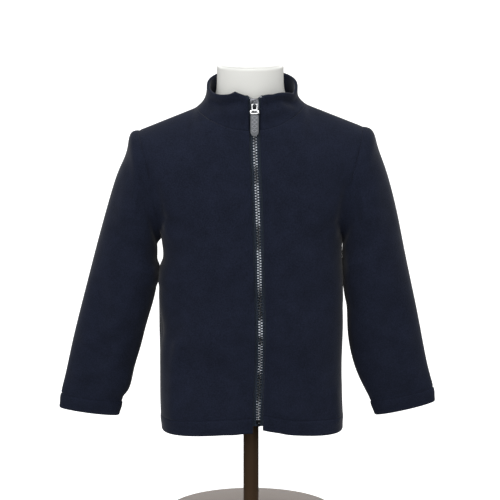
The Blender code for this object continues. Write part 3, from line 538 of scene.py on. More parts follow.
@dataclass(frozen=True)
class Finish:
    """A finish: its name, its colours and the values of the Principled shader."""

    name: str
    colour: str
    roughness: float
    metallic: float = 0.0
    sockets: tuple[tuple[str, float], ...] = ()

    def material(self) -> bpy.types.Material:
        """Make the material once and return it afterwards.

        Returns:
            The material.
        """
        known = bpy.data.materials.get(self.name)
        if known:
            return known
        made = bpy.data.materials.new(self.name)
        made.use_nodes = True
        tree = made.node_tree
        shader = tree.nodes["Principled BSDF"]
        shader.inputs["Base Color"].default_value = linear(self.colour)
        shader.inputs["Roughness"].default_value = self.roughness
        shader.inputs["Metallic"].default_value = self.metallic
        for socket, value in self.sockets:
            shader.inputs[socket].default_value = value
        self.pattern(tree, shader)
        return made

    def pattern(self, tree: bpy.types.NodeTree, shader: Any) -> None:
        """Add the finish's own pattern; a plain finish has fine grain in its roughness.

        Args:
            tree: The material's tree.
            shader: Its Principled shader.
        """
        place = add_node(tree, "ShaderNodeTexCoord", {})
        grain = add_node(
            tree,
            "ShaderNodeTexNoise",
            {"Scale": 900.0, "Detail": 2.0},
            Vector=place.outputs["Object"],
        )
        spread = add_node(
            tree,
            "ShaderNodeMapRange",
            {"To Min": self.roughness - 0.05, "To Max": self.roughness + 0.06},
            Value=grain.outputs["Fac"],
        )
        tree.links.new(spread.outputs["Result"], shader.inputs["Roughness"])


@dataclass(frozen=True)
class Fleece(Finish):
    """Brushed polyester fleece: a matt, short, tufted pile that glows at grazing angles."""

    shade: str = "#000000"
    light: str = "#000000"
    tuft: float = 0.0016
    bump: float = 0.35
    shade_at: float = 0.38
    light_at: float = 0.66
    patch_share: float = 0.25

    def pattern(self, tree: bpy.types.NodeTree, shader: Any) -> None:
        """Mottle the colour by tufts and patches of nap, and raise the tufts as bump.

        Args:
            tree: The material's tree.
            shader: Its Principled shader.
        """
        place = add_node(tree, "ShaderNodeTexCoord", {})
        tufts = add_node(
            tree,
            "ShaderNodeTexNoise",
            {"Scale": 1.0 / self.tuft, "Detail": 3.0, "Roughness": 0.65},
            Vector=place.outputs["Object"],
        )
        # The pile lies in patches, 15 to 30 mm across, that catch the light differently
        patches = add_node(
            tree,
            "ShaderNodeTexNoise",
            {"Scale": 48.0, "Detail": 2.0},
            Vector=place.outputs["Object"],
        )
        both = add_node(
            tree,
            "ShaderNodeMix",
            {"data_type": "FLOAT", "Factor": self.patch_share},
            A=tufts.outputs["Fac"],
            B=patches.outputs["Fac"],
        )
        ramp = add_node(tree, "ShaderNodeValToRGB", {})
        ends = ((self.shade_at, self.shade), (self.light_at, self.light))
        for stop, (at, colour) in zip(ramp.color_ramp.elements, ends):
            stop.position, stop.color = at, linear(colour)
        tree.links.new(both.outputs[0], ramp.inputs["Fac"])
        tree.links.new(ramp.outputs["Color"], shader.inputs["Base Color"])
        bump = add_node(
            tree,
            "ShaderNodeBump",
            {"Strength": self.bump, "Distance": 0.0006},
            Height=tufts.outputs["Fac"],
        )
        tree.links.new(bump.outputs["Normal"], shader.inputs["Normal"])


@dataclass(frozen=True)
class Woven(Finish):
    """Woven polyester tape: crossed threads, 0.9 mm apart."""

    thread: float = 0.0009

    def pattern(self, tree: bpy.types.NodeTree, shader: Any) -> None:
        """Raise crossed threads as bump: the product of waves along X and Z.

        Args:
            tree: The material's tree.
            shader: Its Principled shader.
        """
        place = add_node(tree, "ShaderNodeTexCoord", {})
        waves = []
        for axis in ("X", "Z"):
            waves.append(
                add_node(
                    tree,
                    "ShaderNodeTexWave",
                    {"bands_direction": axis, "Scale": 0.314 / self.thread, "Distortion": 0.4},
                    Vector=place.outputs["Object"],
                )
            )
        height = add_node(
            tree,
            "ShaderNodeMath",
            {"operation": "MULTIPLY"},
            i0=waves[0].outputs["Fac"],
            i1=waves[1].outputs["Fac"],
        )
        bump = add_node(
            tree, "ShaderNodeBump", {"Strength": 0.5, "Distance": 0.0003}, Height=height.outputs[0]
        )
        tree.links.new(bump.outputs["Normal"], shader.inputs["Normal"])


@dataclass(frozen=True)
class Moulded(Finish):
    """Moulded plastic whose level top carries painted shade: it is coloured greyer than its sides.
    """

    painted_shade_top_colour: str = "#ffffff"
    top_height: float = 0.0

    def pattern(self, tree: bpy.types.NodeTree, shader: Any) -> None:
        """Change from the side's colour to the top's painted shade over the last millimetre of
        height.

        Args:
            tree: The material's tree.
            shader: Its Principled shader.
        """
        place = add_node(tree, "ShaderNodeTexCoord", {})
        split = add_node(tree, "ShaderNodeSeparateXYZ", {}, Vector=place.outputs["Object"])
        share = add_node(
            tree,
            "ShaderNodeMapRange",
            {"From Min": self.top_height - 0.0011, "From Max": self.top_height - 0.0001},
            Value=split.outputs["Z"],
        )
        colour = add_node(
            tree,
            "ShaderNodeMix",
            {"data_type": "RGBA", 6: linear(self.colour), 7: linear(self.painted_shade_top_colour)},
            i0=share.outputs["Result"],
        )
        tree.links.new(colour.outputs[2], shader.inputs["Base Color"])


# Brushed polyester fleece: navy, matt, with a soft light rim where the pile is seen side on
FLEECE = Fleece(
    name="navy_brushed_fleece",
    colour="#20232f",
    roughness=0.95,
    sockets=(("Sheen Weight", 0.18), ("Sheen Roughness", 0.36), ("Specular IOR Level", 0.06)),
    shade="#1a1e2a",
    light="#24293a",
)
# Sewing thread of the tapes' stitches: polyester, a shade lighter and smoother than the pile
THREAD = Finish("navy_polyester_thread", "#262b3b", 0.6)
# Woven polyester zip tape: dark teal navy, flat threads with a dull shine
TAPE = Woven("navy_woven_tape", "#1c2735", 0.75, sockets=(("Specular IOR Level", 0.3),))
# Moulded acetal teeth with a vacuum-metallised silver face: small hard glints
TEETH = Finish("silver_moulded_teeth", "#8b8f95", 0.19, metallic=1.0)
# Gunmetal-plated die-cast zinc: dark, with a soft broad shine
GUNMETAL = Finish("gunmetal_plated_zinc", "#5b5c60", 0.30, metallic=0.95)
# Nickel-plated die-cast zinc: pale and bright
NICKEL = Finish("nickel_plated_zinc", "#d2d3d4", 0.24, metallic=1.0)
# Matt moulded rubber: grey, slightly chalky
RUBBER = Finish("grey_moulded_rubber", "#74777c", 0.62, sockets=(("Specular IOR Level", 0.35),))
# The same rubber coloured paler for the raised pattern: a painted highlight on the raised bars
RUBBER_PAINTED_HIGHLIGHT = Finish("grey_rubber_painted_highlight", "#a4a7ac", 0.50, sockets=(("Specular IOR Level", 0.4),))
# Satin white moulded ABS with a soft highlight on its rim, and painted shade greying its flat top
FORM_WHITE = Moulded(
    name="satin_white_abs",
    colour="#f6f6f1",
    roughness=0.38,
    sockets=(("Coat Weight", 0.15),),
    # Painted shade: the neck's flat top is coloured greyer than the sides
    painted_shade_top_colour="#c9c9c3",
    top_height=HEM_HEIGHT + 0.4859,
)
# Bronze-lacquered steel: warm brown metal under a thin clear coat
BRONZE = Finish(
    "bronze_lacquered_steel", "#4f3d2d", 0.48, metallic=0.85, sockets=(("Coat Weight", 0.05),)
)
# White studio paper: matt, so that the floor shows no gloss
PAPER = Finish("matt_white_paper", "#fafafa", 0.9)


# ---------------------------------------------------------------- the jacket's form


@dataclass(frozen=True)
class Fold:
    """A soft ridge (+) or trough (-) along a slightly bowed line, in the plane of the front.

    Both ends are given as distance across and height above the hem.
    """

    start: tuple[float, float]
    end: tuple[float, float]
    half_width: float
    depth: float
    bow: float = 0.0
    fade: float = 0.0

    def at(self, place: Array) -> Array:
        """Depth of the fold at each place.

        It is a bell across the line and falls off past both ends the same way; the line
        bows sideways as 4t(1-t) of its bow, and its depth falls by its fade towards the end.

        Args:
            place: Distance across and height of each point.

        Returns:
            How far each point moves out.
        """
        start = np.array(self.start)
        run = np.array(self.end) - start
        length = np.hypot(*run)
        t = (place - start) @ run / length**2
        aside = ((place - start) @ np.array([-run[1], run[0]])) / length
        inside = np.clip(t, 0, 1)
        aside = aside - self.bow * 4 * inside * (1 - inside)
        past = (t - inside) * length
        across = np.exp(-(aside**2 + past**2) / self.half_width**2)
        return self.depth * (1 - self.fade * inside) * across


def tabled(columns: Sequence[str], *rows: Sequence[float]) -> Any:
    """A dataclass field that holds a table of named columns."""
    return field(default_factory=lambda: table(columns, rows))


def by_side(right: Any, left: Any) -> Any:
    """A dataclass field with one value for each of the wearer's sides."""
    return field(default_factory=lambda: {"right": right, "left": left})


def folds(*rows: tuple[float, ...]) -> tuple[Fold, ...]:
    """Folds from a table.

    Args:
        rows: Start across and up, end across and up, half width, depth, then bow and fade if any.

    Returns:
        One fold a row.
    """
    return tuple(Fold(row[:2], row[2:4], *row[4:]) for row in rows)


@dataclass
class JacketShape:
    """The smooth form of the jacket: its rings, neck, yoke, sleeves and collar."""

    refine: int = 7
    neck_cells: int = 6
    shoulder_cells: int = 6
    yoke_cells: int = 5
    collar_cells: int = 5
    underarm: float = 0.250
    chest_top: float = 0.330
    neck_half_width: float = 0.073
    armhole_half_depth: float = 0.050
    shoulder_seam_y: float = 0.004
    shoulder_half_width: float = 0.150
    shoulder_heights: dict[str, float] = by_side(0.3965, 0.4015)
    neck_side_heights: dict[str, float] = by_side(0.4275, 0.4320)
    hem_sag: float = 0.005
    hem_drop: float = 0.009
    hem_sag_reach: float = 0.150
    zip_half_opening: float = 0.0070
    zip_spread_at_top: float = 0.0016
    slider_height: float = 0.4395
    zip_top: float = 0.460
    body: dict[str, Array] = tabled(
        ("height", "right", "left", "front", "back", "bend"),
        (0.000, 0.1215, 0.1250, 0.0865, 0.0860, 3.6),
        (0.030, 0.1230, 0.1240, 0.0870, 0.0860, 3.5),
        (0.080, 0.1235, 0.1230, 0.0875, 0.0855, 3.3),
        (0.140, 0.1245, 0.1245, 0.0880, 0.0850, 3.1),
        (0.185, 0.1242, 0.1230, 0.0880, 0.0845, 3.0),
        (0.205, 0.1222, 0.1222, 0.0875, 0.0840, 2.9),
        (0.230, 0.1185, 0.1212, 0.0865, 0.0835, 2.8),
        (0.250, 0.1205, 0.1215, 0.0855, 0.0830, 2.7),
        (0.290, 0.1260, 0.1260, 0.0830, 0.0820, 2.6),
        (0.330, 0.1330, 0.1330, 0.0785, 0.0790, 2.5),
    )
    zip_line: dict[str, Array] = tabled(
        ("height", "across", "wave"),
        (0.000, 0.0095, 0.0000),
        (0.040, 0.0100, 0.0016),
        (0.085, 0.0120, -0.0014),
        (0.130, 0.0128, 0.0016),
        (0.180, 0.0118, -0.0012),
        (0.225, 0.0108, 0.0014),
        (0.275, 0.0095, -0.0008),
        (0.330, 0.0075, 0.0006),
        (0.375, 0.0056, 0.0000),
        (0.460, 0.0046, 0.0000),
    )
    collar_edge: dict[str, Array] = tabled(
        ("angle", "right", "left"),
        (0.0, 0.4510, 0.4510),
        (12.0, 0.4550, 0.4530),
        (28.0, 0.4515, 0.4575),
        (45.0, 0.4500, 0.4530),
        (60.0, 0.4515, 0.4500),
        (78.0, 0.4560, 0.4560),
        (95.0, 0.4620, 0.4625),
        (120.0, 0.4680, 0.4680),
        (150.0, 0.4720, 0.4720),
        (180.0, 0.4735, 0.4735),
    )
    collar_half_widths: dict[str, float] = by_side(0.0592, 0.0625)
    collar_half_depth: float = 0.0570
    sleeves: dict[str, dict[str, Array]] = by_side(
        table(
            ("outer_x", "outer_h", "inner_x", "inner_h", "middle", "half_depth"),
            (
                (0.1595, 0.3945, 0.1250, 0.2450, 0.001, 0.0520),
                (0.1660, 0.3730, 0.1262, 0.2360, 0.000, 0.0535),
                (0.1760, 0.3470, 0.1264, 0.2220, -0.001, 0.0540),
                (0.1870, 0.3160, 0.1262, 0.2030, -0.002, 0.0530),
                (0.1980, 0.2780, 0.1285, 0.1800, -0.003, 0.0500),
                (0.2095, 0.2360, 0.1345, 0.1560, -0.004, 0.0465),
                (0.2215, 0.1900, 0.1425, 0.1290, -0.005, 0.0425),
                (0.2335, 0.1440, 0.1500, 0.1000, -0.006, 0.0380),
                (0.2445, 0.0980, 0.1590, 0.0690, -0.007, 0.0320),
                (0.2540, 0.0560, 0.1690, 0.0385, -0.008, 0.0240),
                (0.2575, 0.0415, 0.1745, 0.0300, -0.008, 0.0205),
                (0.2580, 0.0385, 0.1750, 0.0265, -0.008, 0.0200),
                (0.2610, 0.0175, 0.1795, 0.0065, -0.008, 0.0155),
            ),
        ),
        table(
            ("outer_x", "outer_h", "inner_x", "inner_h", "middle", "half_depth"),
            (
                (0.1605, 0.3985, 0.1250, 0.2450, 0.001, 0.0520),
                (0.1690, 0.3790, 0.1258, 0.2350, 0.000, 0.0535),
                (0.1780, 0.3530, 0.1258, 0.2200, -0.001, 0.0540),
                (0.1880, 0.3210, 0.1258, 0.2010, -0.002, 0.0530),
                (0.1975, 0.2820, 0.1272, 0.1790, -0.003, 0.0500),
                (0.2060, 0.2400, 0.1295, 0.1560, -0.004, 0.0465),
                (0.2155, 0.1950, 0.1305, 0.1280, -0.005, 0.0425),
                (0.2255, 0.1480, 0.1345, 0.0980, -0.006, 0.0380),
                (0.2340, 0.1040, 0.1440, 0.0660, -0.007, 0.0320),
                (0.2430, 0.0640, 0.1575, 0.0380, -0.008, 0.0240),
                (0.2470, 0.0495, 0.1615, 0.0290, -0.008, 0.0205),
                (0.2477, 0.0465, 0.1622, 0.0265, -0.008, 0.0200),
                (0.2505, 0.0260, 0.1685, 0.0070, -0.008, 0.0155),
            ),
        ),
    )

    def front_edge(self, height: Any, side: Side) -> Array:
        """Distance from the middle plane to a front's zip edge, positive to its own side.

        Args:
            height: Heights above the hem.
            side: The wearer's side.

        Returns:
            The distances.
        """
        spread = self.zip_spread_at_top * np.clip((height - self.slider_height) / 0.02, 0.0, 1.0)
        across = eased(self.zip_line["height"], self.zip_line["across"], height)
        return side.value * across + self.zip_half_opening + spread

    def body_row(self, height: float, face: Face, side: Side) -> Array:
        """One row of a panel, from the centre to the side seam or the armhole.

        The ring is a superellipse, |x/a|^n + |y/b|^n = 1, that passes through the side seam;
        above the underarm it is cut at the armhole, whose depth is a quarter of an ellipse.

        Args:
            height: Height above the hem.
            face: Front or back.
            side: The wearer's side.

        Returns:
            Points at even distances along the row.
        """
        edge = eased(self.body["height"], self.body[side.label], height)
        depth = eased(self.body["height"], self.body[face.label], height)
        if face is Face.FRONT:
            depth = depth + eased(self.zip_line["height"], self.zip_line["wave"], height)
        bend = eased(self.body["height"], self.body["bend"], height)
        rise = (self.chest_top - height) / (self.chest_top - self.underarm)
        opening = self.armhole_half_depth * math.sqrt(max(0.0, 1.0 - rise * rise))
        reach = edge / (1.0 - (opening / depth) ** bend) ** (1.0 / bend)
        start = float(self.front_edge(height, side)) if face is Face.FRONT else 0.0
        turn = [math.copysign(math.asin((abs(x) / reach) ** (bend / 2)), x) for x in (start, edge)]
        turn = np.linspace(turn[0], turn[1], 700)
        x = np.sign(turn) * reach * np.abs(np.sin(turn)) ** (2 / bend)
        y = depth * np.clip(np.cos(turn), 0.0, 1.0) ** (2 / bend)
        level = np.full_like(x, height)
        cells = self.refine * (self.neck_cells + self.shoulder_cells)
        row = even(np.stack([side.value * x, face.value * y, level], -1), cells)
        across = np.linspace(0.0, 1.0, cells + 1)
        sag = self.hem_sag * np.sin(np.pi * across) + self.hem_drop * across**3
        row[:, 2] -= sag * max(0.0, 1.0 - height / self.hem_sag_reach)
        return row

    def neck_side(self, side: Side) -> Array:
        """The inner end of the shoulder seam, on the neck seam."""
        across, height = side.value * self.neck_half_width, self.neck_side_heights[side.label]
        return np.array([across, self.shoulder_seam_y, height])

    def top_row(self, face: Face, side: Side) -> Array:
        """The neck seam and then the shoulder seam, as one row of the panel.

        Args:
            face: Front or back.
            side: The wearer's side.

        Returns:
            Points from the centre to the shoulder's tip.
        """
        centre_y, centre_h = (-0.0615, 0.4050) if face is Face.FRONT else (0.0600, 0.4340)
        corner = self.neck_side(side)
        start = float(self.front_edge(centre_h, side)) if face is Face.FRONT else 0.0
        turn = np.linspace(math.asin(start / self.neck_half_width), math.pi / 2, 500)
        x = side.value * self.neck_half_width * np.sin(turn)
        y = corner[1] + (centre_y - corner[1]) * np.clip(np.cos(turn), 0, 1) ** 0.9
        level = centre_h + (corner[2] - centre_h) * np.abs(np.sin(turn)) ** 2.2
        neck = even(np.stack([x, y, level], -1), self.neck_cells * self.refine)
        t = np.linspace(0.0, 1.0, self.shoulder_cells * self.refine + 1)[1:, None]
        across, height = side.value * self.shoulder_half_width, self.shoulder_heights[side.label]
        tip = np.array([across, self.shoulder_seam_y, height])
        return np.concatenate([neck, corner * (1 - t) + tip * t])

    def body_heights(self) -> Array:
        """Heights of the rows below the underarm: fine at the hem's edge and at its seam.

        Returns:
            The heights, rising.
        """
        plain = np.arange(0.0262, self.underarm, 0.0018)
        heights = np.concatenate([FOLD_ROWS, TURNED_ROWS, plain, STITCH_ROWS])
        return np.sort(heights[heights < self.underarm - 0.0009])

    def armhole_heights(self) -> Array:
        """Heights of the rows from the underarm to the chest, closer together at the bottom."""
        share = np.linspace(0.0, 1.0, 46)
        return self.underarm + (self.chest_top - self.underarm) * share**1.6

    def panel(self, face: Face, side: Side) -> Array:
        """Grid of the outer surface of a quarter: rows up, columns to the side.

        Rings up to the chest, then a cubic over the shoulder to the neck and shoulder seams.
        The cubic's columns are evened sideways, most at the chest and not at all at the top.

        Args:
            face: Front or back.
            side: The wearer's side.

        Returns:
            Points by row and column.
        """
        heights = np.concatenate([self.body_heights(), self.armhole_heights()])
        rows = np.stack([self.body_row(float(height), face, side) for height in heights])
        chest, top = rows[-1], self.top_row(face, side)
        column = np.arange(len(top)) / self.refine
        turned = soft_step(column / self.neck_cells)
        fan = 0.008 * np.exp(-(((column - self.neck_cells + 1) / 2.2) ** 2))
        forward = 0.007 + 0.031 * turned
        below = 0.030 - 0.024 * turned + 0.4 * fan
        arrive = top + np.stack([side.value * fan, face.value * forward, -below], -1)
        lower = self.body_row(self.chest_top - 0.003, face, side)
        rising = chest - lower
        leave = chest + rising * (0.032 / rising[:, 2:])
        t = np.linspace(0.0, 1.0, self.yoke_cells * self.refine + 1)[1:]
        yoke = bezier(chest, leave, arrive, top, t)
        ease = (0.6 * (1.0 - t))[:, None, None]
        for _ in range(6 * self.refine**2):
            yoke[:, 1:-1] += ease * ((yoke[:, :-2] + yoke[:, 2:]) / 2 - yoke[:, 1:-1])
        grid = np.concatenate([rows, yoke])
        # The rings and the cubic are evened along the rows where they meet
        index = np.arange(len(grid))
        ease = bell(index, len(rows) - 1, 0.9 * self.refine) * (index > len(self.body_heights()))
        ease = ease[1:-1, None, None]
        for _ in range(12 * self.refine):
            grid[1:-1] += ease * ((grid[:-2] + grid[2:]) / 2 - grid[1:-1])
        return grid

    def sleeve(self, side: Side, armhole: Array) -> Array:
        """Rings of a sleeve from its armhole to its cuff, joined by a spline along it.

        Each ring is an ellipse set between its outer and inner points; the first few turn
        gradually from the armhole's own outline.

        Args:
            side: The wearer's side.
            armhole: The armhole's loop, from the top over the front and down.

        Returns:
            Rows from the armhole to the cuff, columns round the sleeve.
        """
        rows = self.sleeves[side.label]
        half = len(armhole) // 2
        steps = np.linalg.norm(np.diff(np.concatenate([armhole, armhole[:1]]), axis=0), axis=1)
        along = np.concatenate([[0.0], np.cumsum(steps)])
        front = along[:half] / along[half]
        back = 1 + (along[half:-1] - along[half]) / (along[-1] - along[half])
        turn = np.pi * np.concatenate([front, back])
        top, bottom = armhole[0], armhole[half]
        centre, reach = (top + bottom) / 2, (top - bottom) / 2
        share = (armhole - centre) @ reach / (reach @ reach)
        rest = armhole - centre - share[:, None] * reach
        rings = [armhole]
        for k in range(len(rows["middle"])):
            outer, inner = (
                np.array([side.value * rows[f"{end}_x"][k], rows["middle"][k], rows[f"{end}_h"][k]])
                for end in ("outer", "inner")
            )
            settled = float(soft_step(np.array((k + 1) / 4)))
            mixed = (1 - settled) * share + settled * np.cos(turn)
            ring = (outer + inner) / 2 + mixed[:, None] * (outer - inner) / 2
            ring = ring + (1 - settled) * rest
            ring[:, 1] -= settled * rows["half_depth"][k] * np.sin(turn)
            rings.append(ring)
        rings = np.stack(rings)
        gaps = np.linalg.norm(np.diff(rings, axis=0), axis=-1).mean(1)
        stations = np.concatenate([[0.0], np.cumsum(gaps)])
        end = stations[-1]
        armhole_edge = np.array([0.0, 0.0005, 0.0011, 0.0018, 0.0027])
        plain = np.arange(0.0040, end - 0.0255, 0.0019)
        cuff = end - np.concatenate([STITCH_ROWS, TURNED_ROWS, FOLD_ROWS])
        at = np.sort(np.concatenate([armhole_edge, plain, cuff]))
        return spline(stations, rings, at)

    def collar(self, seam: Array) -> Array:
        """Rows of the collar from the neck seam up, right front to left front.

        Each column is a cubic that leaves the seam leaning inwards and ends upright on an
        oval upper edge, whose height follows a table by the angle round the neck.

        Args:
            seam: The neck seam, from the right front over the back to the left front.

        Returns:
            Points by row and column.
        """
        half = len(seam) // 2
        angle = np.linspace(0.0, 180.0, half + 1)
        halves = []
        for side in Side:
            width = self.collar_half_widths[side.label]
            start = math.asin(float(self.front_edge(self.zip_top, side)) / width)
            turn = start + (math.pi - start) * angle / 180
            level = eased(self.collar_edge["angle"], self.collar_edge[side.label], angle)
            x = side.value * width * np.sin(turn)
            halves.append(np.stack([x, -self.collar_half_depth * np.cos(turn), level], -1))
        top = np.concatenate([halves[0], halves[1][-2::-1]])
        outward = seam * np.array([1.0, 1.0, 0.0])
        outward /= np.linalg.norm(outward, axis=1)[:, None]
        sideways = np.abs(outward[:, :1])
        leave = seam - outward * (0.001 + 0.011 * sideways) + UP * (0.016 - 0.008 * sideways)
        arrive = top - UP * 0.016
        t = np.linspace(0.0, 1.0, self.collar_cells * self.refine + 1)
        t = np.unique(np.concatenate([t, 1 - np.array([0.007, 0.018, 0.04, 0.065])]))
        return bezier(seam, leave, arrive, top, t)


@dataclass
class Cloth:
    """The jacket's cloth pieces: fronts, back, sleeves and collar, as thin folded walls."""

    shape: JacketShape
    # The cut of each piece: its width and length, and its area within them
    cuts: tuple[tuple[str, float, float, float], ...] = (
        ("front_right", 0.195, 0.478, 0.0745),
        ("front_left", 0.186, 0.481, 0.0670),
        ("back", 0.371, 0.478, 0.1470),
        ("sleeve_right", 0.401, 0.404, 0.0880),
        ("sleeve_left", 0.408, 0.398, 0.0885),
        ("collar", 0.418, 0.054, 0.0150),
    )
    single: float = 0.0025
    doubled: float = 0.0046
    collar_thickness: float = 0.0042
    hem_turn: float = 0.021
    seam_depth: float = 0.0004
    seam_half_width: float = 0.0018
    stitch_depth: float = 0.0009
    stitch_half_width: float = 0.0011
    zip_edge: float = 0.0012
    zip_stitch: float = 0.0052
    front_folds: tuple[Fold, ...] = folds(
        (0.030, 0.000, 0.024, 0.105, 0.013, -0.0075, 0.0, 0.45),
        (-0.020, 0.000, -0.014, 0.095, 0.012, 0.0030, 0.0, 0.45),
        (-0.108, 0.130, -0.040, 0.042, 0.024, -0.0050, 0.0, 0.45),
        (-0.078, 0.118, -0.030, 0.108, 0.018, 0.0030, 0.0, 0.45),
        (-0.100, 0.115, -0.104, 0.020, 0.009, 0.0045, 0.0, 0.45),
        (-0.086, 0.192, -0.112, 0.128, 0.020, -0.0035, 0.0, 0.45),
        (0.056, 0.162, 0.088, 0.064, 0.014, 0.0040, 0.0, 0.45),
        (0.086, 0.182, 0.060, 0.140, 0.020, -0.0035, 0.0, 0.45),
        (0.056, 0.088, 0.094, 0.026, 0.018, -0.0040, 0.0, 0.45),
    )
    back_folds: tuple[Fold, ...] = folds(
        (-0.060, 0.010, -0.044, 0.130, 0.020, -0.0055, 0.0, 0.45),
        (0.050, 0.000, 0.064, 0.110, 0.018, -0.0060, 0.0, 0.45),
        (0.000, 0.020, 0.008, 0.120, 0.022, 0.0040, 0.0, 0.45),
        (-0.090, 0.150, -0.020, 0.205, 0.022, -0.0035, 0.0, 0.45),
        (0.095, 0.140, 0.030, 0.190, 0.022, -0.0035, 0.0, 0.45),
    )
    # Smaller creases, which the solid leaves out
    front_creases: tuple[Fold, ...] = folds(
        (-0.128, 0.330, -0.122, 0.272, 0.007, -0.0022, 0.003),
        (-0.116, 0.285, -0.070, 0.262, 0.008, -0.0014, 0.004, 0.7),
        (-0.112, 0.270, -0.078, 0.238, 0.007, 0.0011, -0.003, 0.6),
        (0.128, 0.325, 0.122, 0.262, 0.007, -0.0022, -0.003),
        (0.116, 0.278, 0.076, 0.252, 0.008, -0.0013, -0.004, 0.7),
        (-0.036, 0.124, -0.020, 0.118, 0.007, -0.0013),
        (0.044, 0.160, 0.054, 0.146, 0.010, -0.0016),
        (0.048, 0.090, 0.044, 0.030, 0.008, 0.0014, 0.0, 0.3),
        (-0.058, 0.060, -0.078, 0.028, 0.010, 0.0012, 0.003),
        (0.112, 0.052, 0.116, 0.014, 0.007, 0.0016),
        (-0.012, 0.215, -0.040, 0.196, 0.012, -0.0010, 0.003),
        (0.030, 0.232, 0.062, 0.214, 0.013, -0.0010, -0.003),
        (-0.060, 0.356, -0.030, 0.340, 0.012, -0.0009, 0.004),
        (0.040, 0.352, 0.078, 0.338, 0.012, -0.0009, -0.004),
    )
    back_creases: tuple[Fold, ...] = folds(
        (-0.126, 0.330, -0.118, 0.270, 0.007, -0.0020, 0.003),
        (0.126, 0.328, 0.118, 0.264, 0.007, -0.0020, -0.003),
        (-0.114, 0.274, -0.060, 0.240, 0.009, -0.0015, -0.005, 0.6),
        (0.112, 0.268, 0.066, 0.238, 0.008, -0.0014, 0.004, 0.7),
        (-0.030, 0.385, 0.034, 0.388, 0.010, -0.0014, -0.005),
        (0.012, 0.150, 0.022, 0.112, 0.010, -0.0012),
        (-0.082, 0.070, -0.092, 0.016, 0.009, 0.0017, 0.0, 0.3),
        (0.090, 0.060, 0.084, 0.010, 0.009, 0.0015, 0.0, 0.3),
        (-0.018, 0.236, 0.026, 0.222, 0.013, -0.0011, 0.004),
    )
    sleeve_front: tuple[Fold, ...] = folds(
        (-0.152, 0.385, -0.156, 0.300, 0.006, 0.0018, 0.002, 0.3),
        (-0.143, 0.360, -0.146, 0.290, 0.006, -0.0016, 0.0, 0.3),
        (-0.202, 0.188, -0.206, 0.132, 0.013, -0.0030, 0.003),
        (-0.196, 0.112, -0.212, 0.058, 0.014, -0.0034, -0.003),
        (-0.168, 0.150, -0.222, 0.118, 0.010, 0.0018, 0.004),
        (-0.182, 0.088, -0.236, 0.066, 0.009, 0.0016, 0.004),
        (-0.152, 0.122, -0.160, 0.088, 0.009, -0.0010),
        (-0.136, 0.236, -0.180, 0.268, 0.010, -0.0016, 0.004, 0.5),
        (-0.138, 0.212, -0.176, 0.226, 0.009, 0.0013, 0.003, 0.5),
        (-0.178, 0.330, -0.190, 0.286, 0.012, -0.0012, 0.003),
        (0.146, 0.378, 0.152, 0.285, 0.006, 0.0018, -0.002, 0.3),
        (0.138, 0.350, 0.142, 0.280, 0.006, -0.0016, 0.0, 0.3),
        (0.188, 0.160, 0.198, 0.078, 0.014, -0.0032, -0.003),
        (0.160, 0.140, 0.208, 0.116, 0.010, 0.0018, -0.004),
        (0.168, 0.092, 0.222, 0.072, 0.009, 0.0015, -0.004),
        (0.134, 0.246, 0.176, 0.272, 0.010, -0.0016, -0.004, 0.5),
        (0.136, 0.220, 0.170, 0.232, 0.009, 0.0013, -0.003, 0.5),
        (0.178, 0.322, 0.188, 0.276, 0.012, -0.0012, -0.003),
    )
    sleeve_back: tuple[Fold, ...] = folds(
        (-0.150, 0.370, -0.158, 0.290, 0.007, 0.0016, 0.0, 0.3),
        (-0.146, 0.240, -0.196, 0.226, 0.010, -0.0026, 0.004, 0.3),
        (-0.150, 0.214, -0.206, 0.194, 0.009, 0.0020, 0.004, 0.3),
        (-0.154, 0.186, -0.210, 0.166, 0.010, -0.0024, 0.005, 0.3),
        (-0.188, 0.120, -0.224, 0.096, 0.011, -0.0018, 0.003),
        (0.148, 0.372, 0.154, 0.292, 0.007, 0.0016, 0.0, 0.3),
        (0.140, 0.246, 0.190, 0.236, 0.010, -0.0024, -0.004, 0.3),
        (0.144, 0.220, 0.196, 0.204, 0.009, 0.0018, -0.004, 0.3),
        (0.142, 0.190, 0.198, 0.172, 0.011, -0.0024, -0.005, 0.3),
        (0.176, 0.118, 0.214, 0.098, 0.011, -0.0017, -0.003),
    )
    # Where a sleeve rests against the side: its side, height, reach up and down, and depth
    touches: tuple[tuple[Side, float, float, float], ...] = (
        (Side.LEFT, 0.228, 0.036, 0.0042),
        (Side.LEFT, 0.185, 0.022, 0.0030),
        (Side.RIGHT, 0.203, 0.014, 0.0060),
    )
    fold_share: float = 1.15
    crease_share: float = 1.4
    corner_start: float = 0.4455
    corner_set_back: float = 0.0030
    corner_opening: float = 0.0105
    corner_rise: float = 0.0012
    # Dips of the collar's upper edge: place, reach and depth
    collar_dips: tuple[tuple[float, float, float], ...] = ((0.0385, 0.0105, 0.0046),)
    smooth: dict[str, Array] = field(default_factory=dict)
    outer: dict[str, Array] = field(default_factory=dict)
    inner: dict[str, Array] = field(default_factory=dict)

    def folded_body(self, name: str, grid: Array, face: Face) -> Array:
        """Push the folds into a panel, clear of its seams.

        Args:
            name: The panel's name.
            grid: Its smooth points.
            face: Front or back.

        Returns:
            The folded points.
        """
        large = self.front_folds if face is Face.FRONT else self.back_folds
        small = self.front_creases if face is Face.FRONT else self.back_creases
        place = grid[..., (0, 2)]
        rows, columns = grid.shape[:2]
        clear = 2.0 * self.shape.refine
        top = (rows - 1 - np.arange(rows))[:, None] / clear
        side = np.minimum(np.arange(columns), columns - 1 - np.arange(columns))[None] / clear
        weight = np.clip(np.minimum(top, side), 0.0, 1.0)
        depth = sum(fold.at(place) for fold in large) * weight * self.fold_share
        creases = sum(fold.at(place) for fold in small) * self.crease_share
        depth = depth + creases * np.clip(weight * 2.5, 0, 1)
        grid = self.resting(grid + normals_of(grid) * depth[..., None], 0.4)
        if name == "front_left":
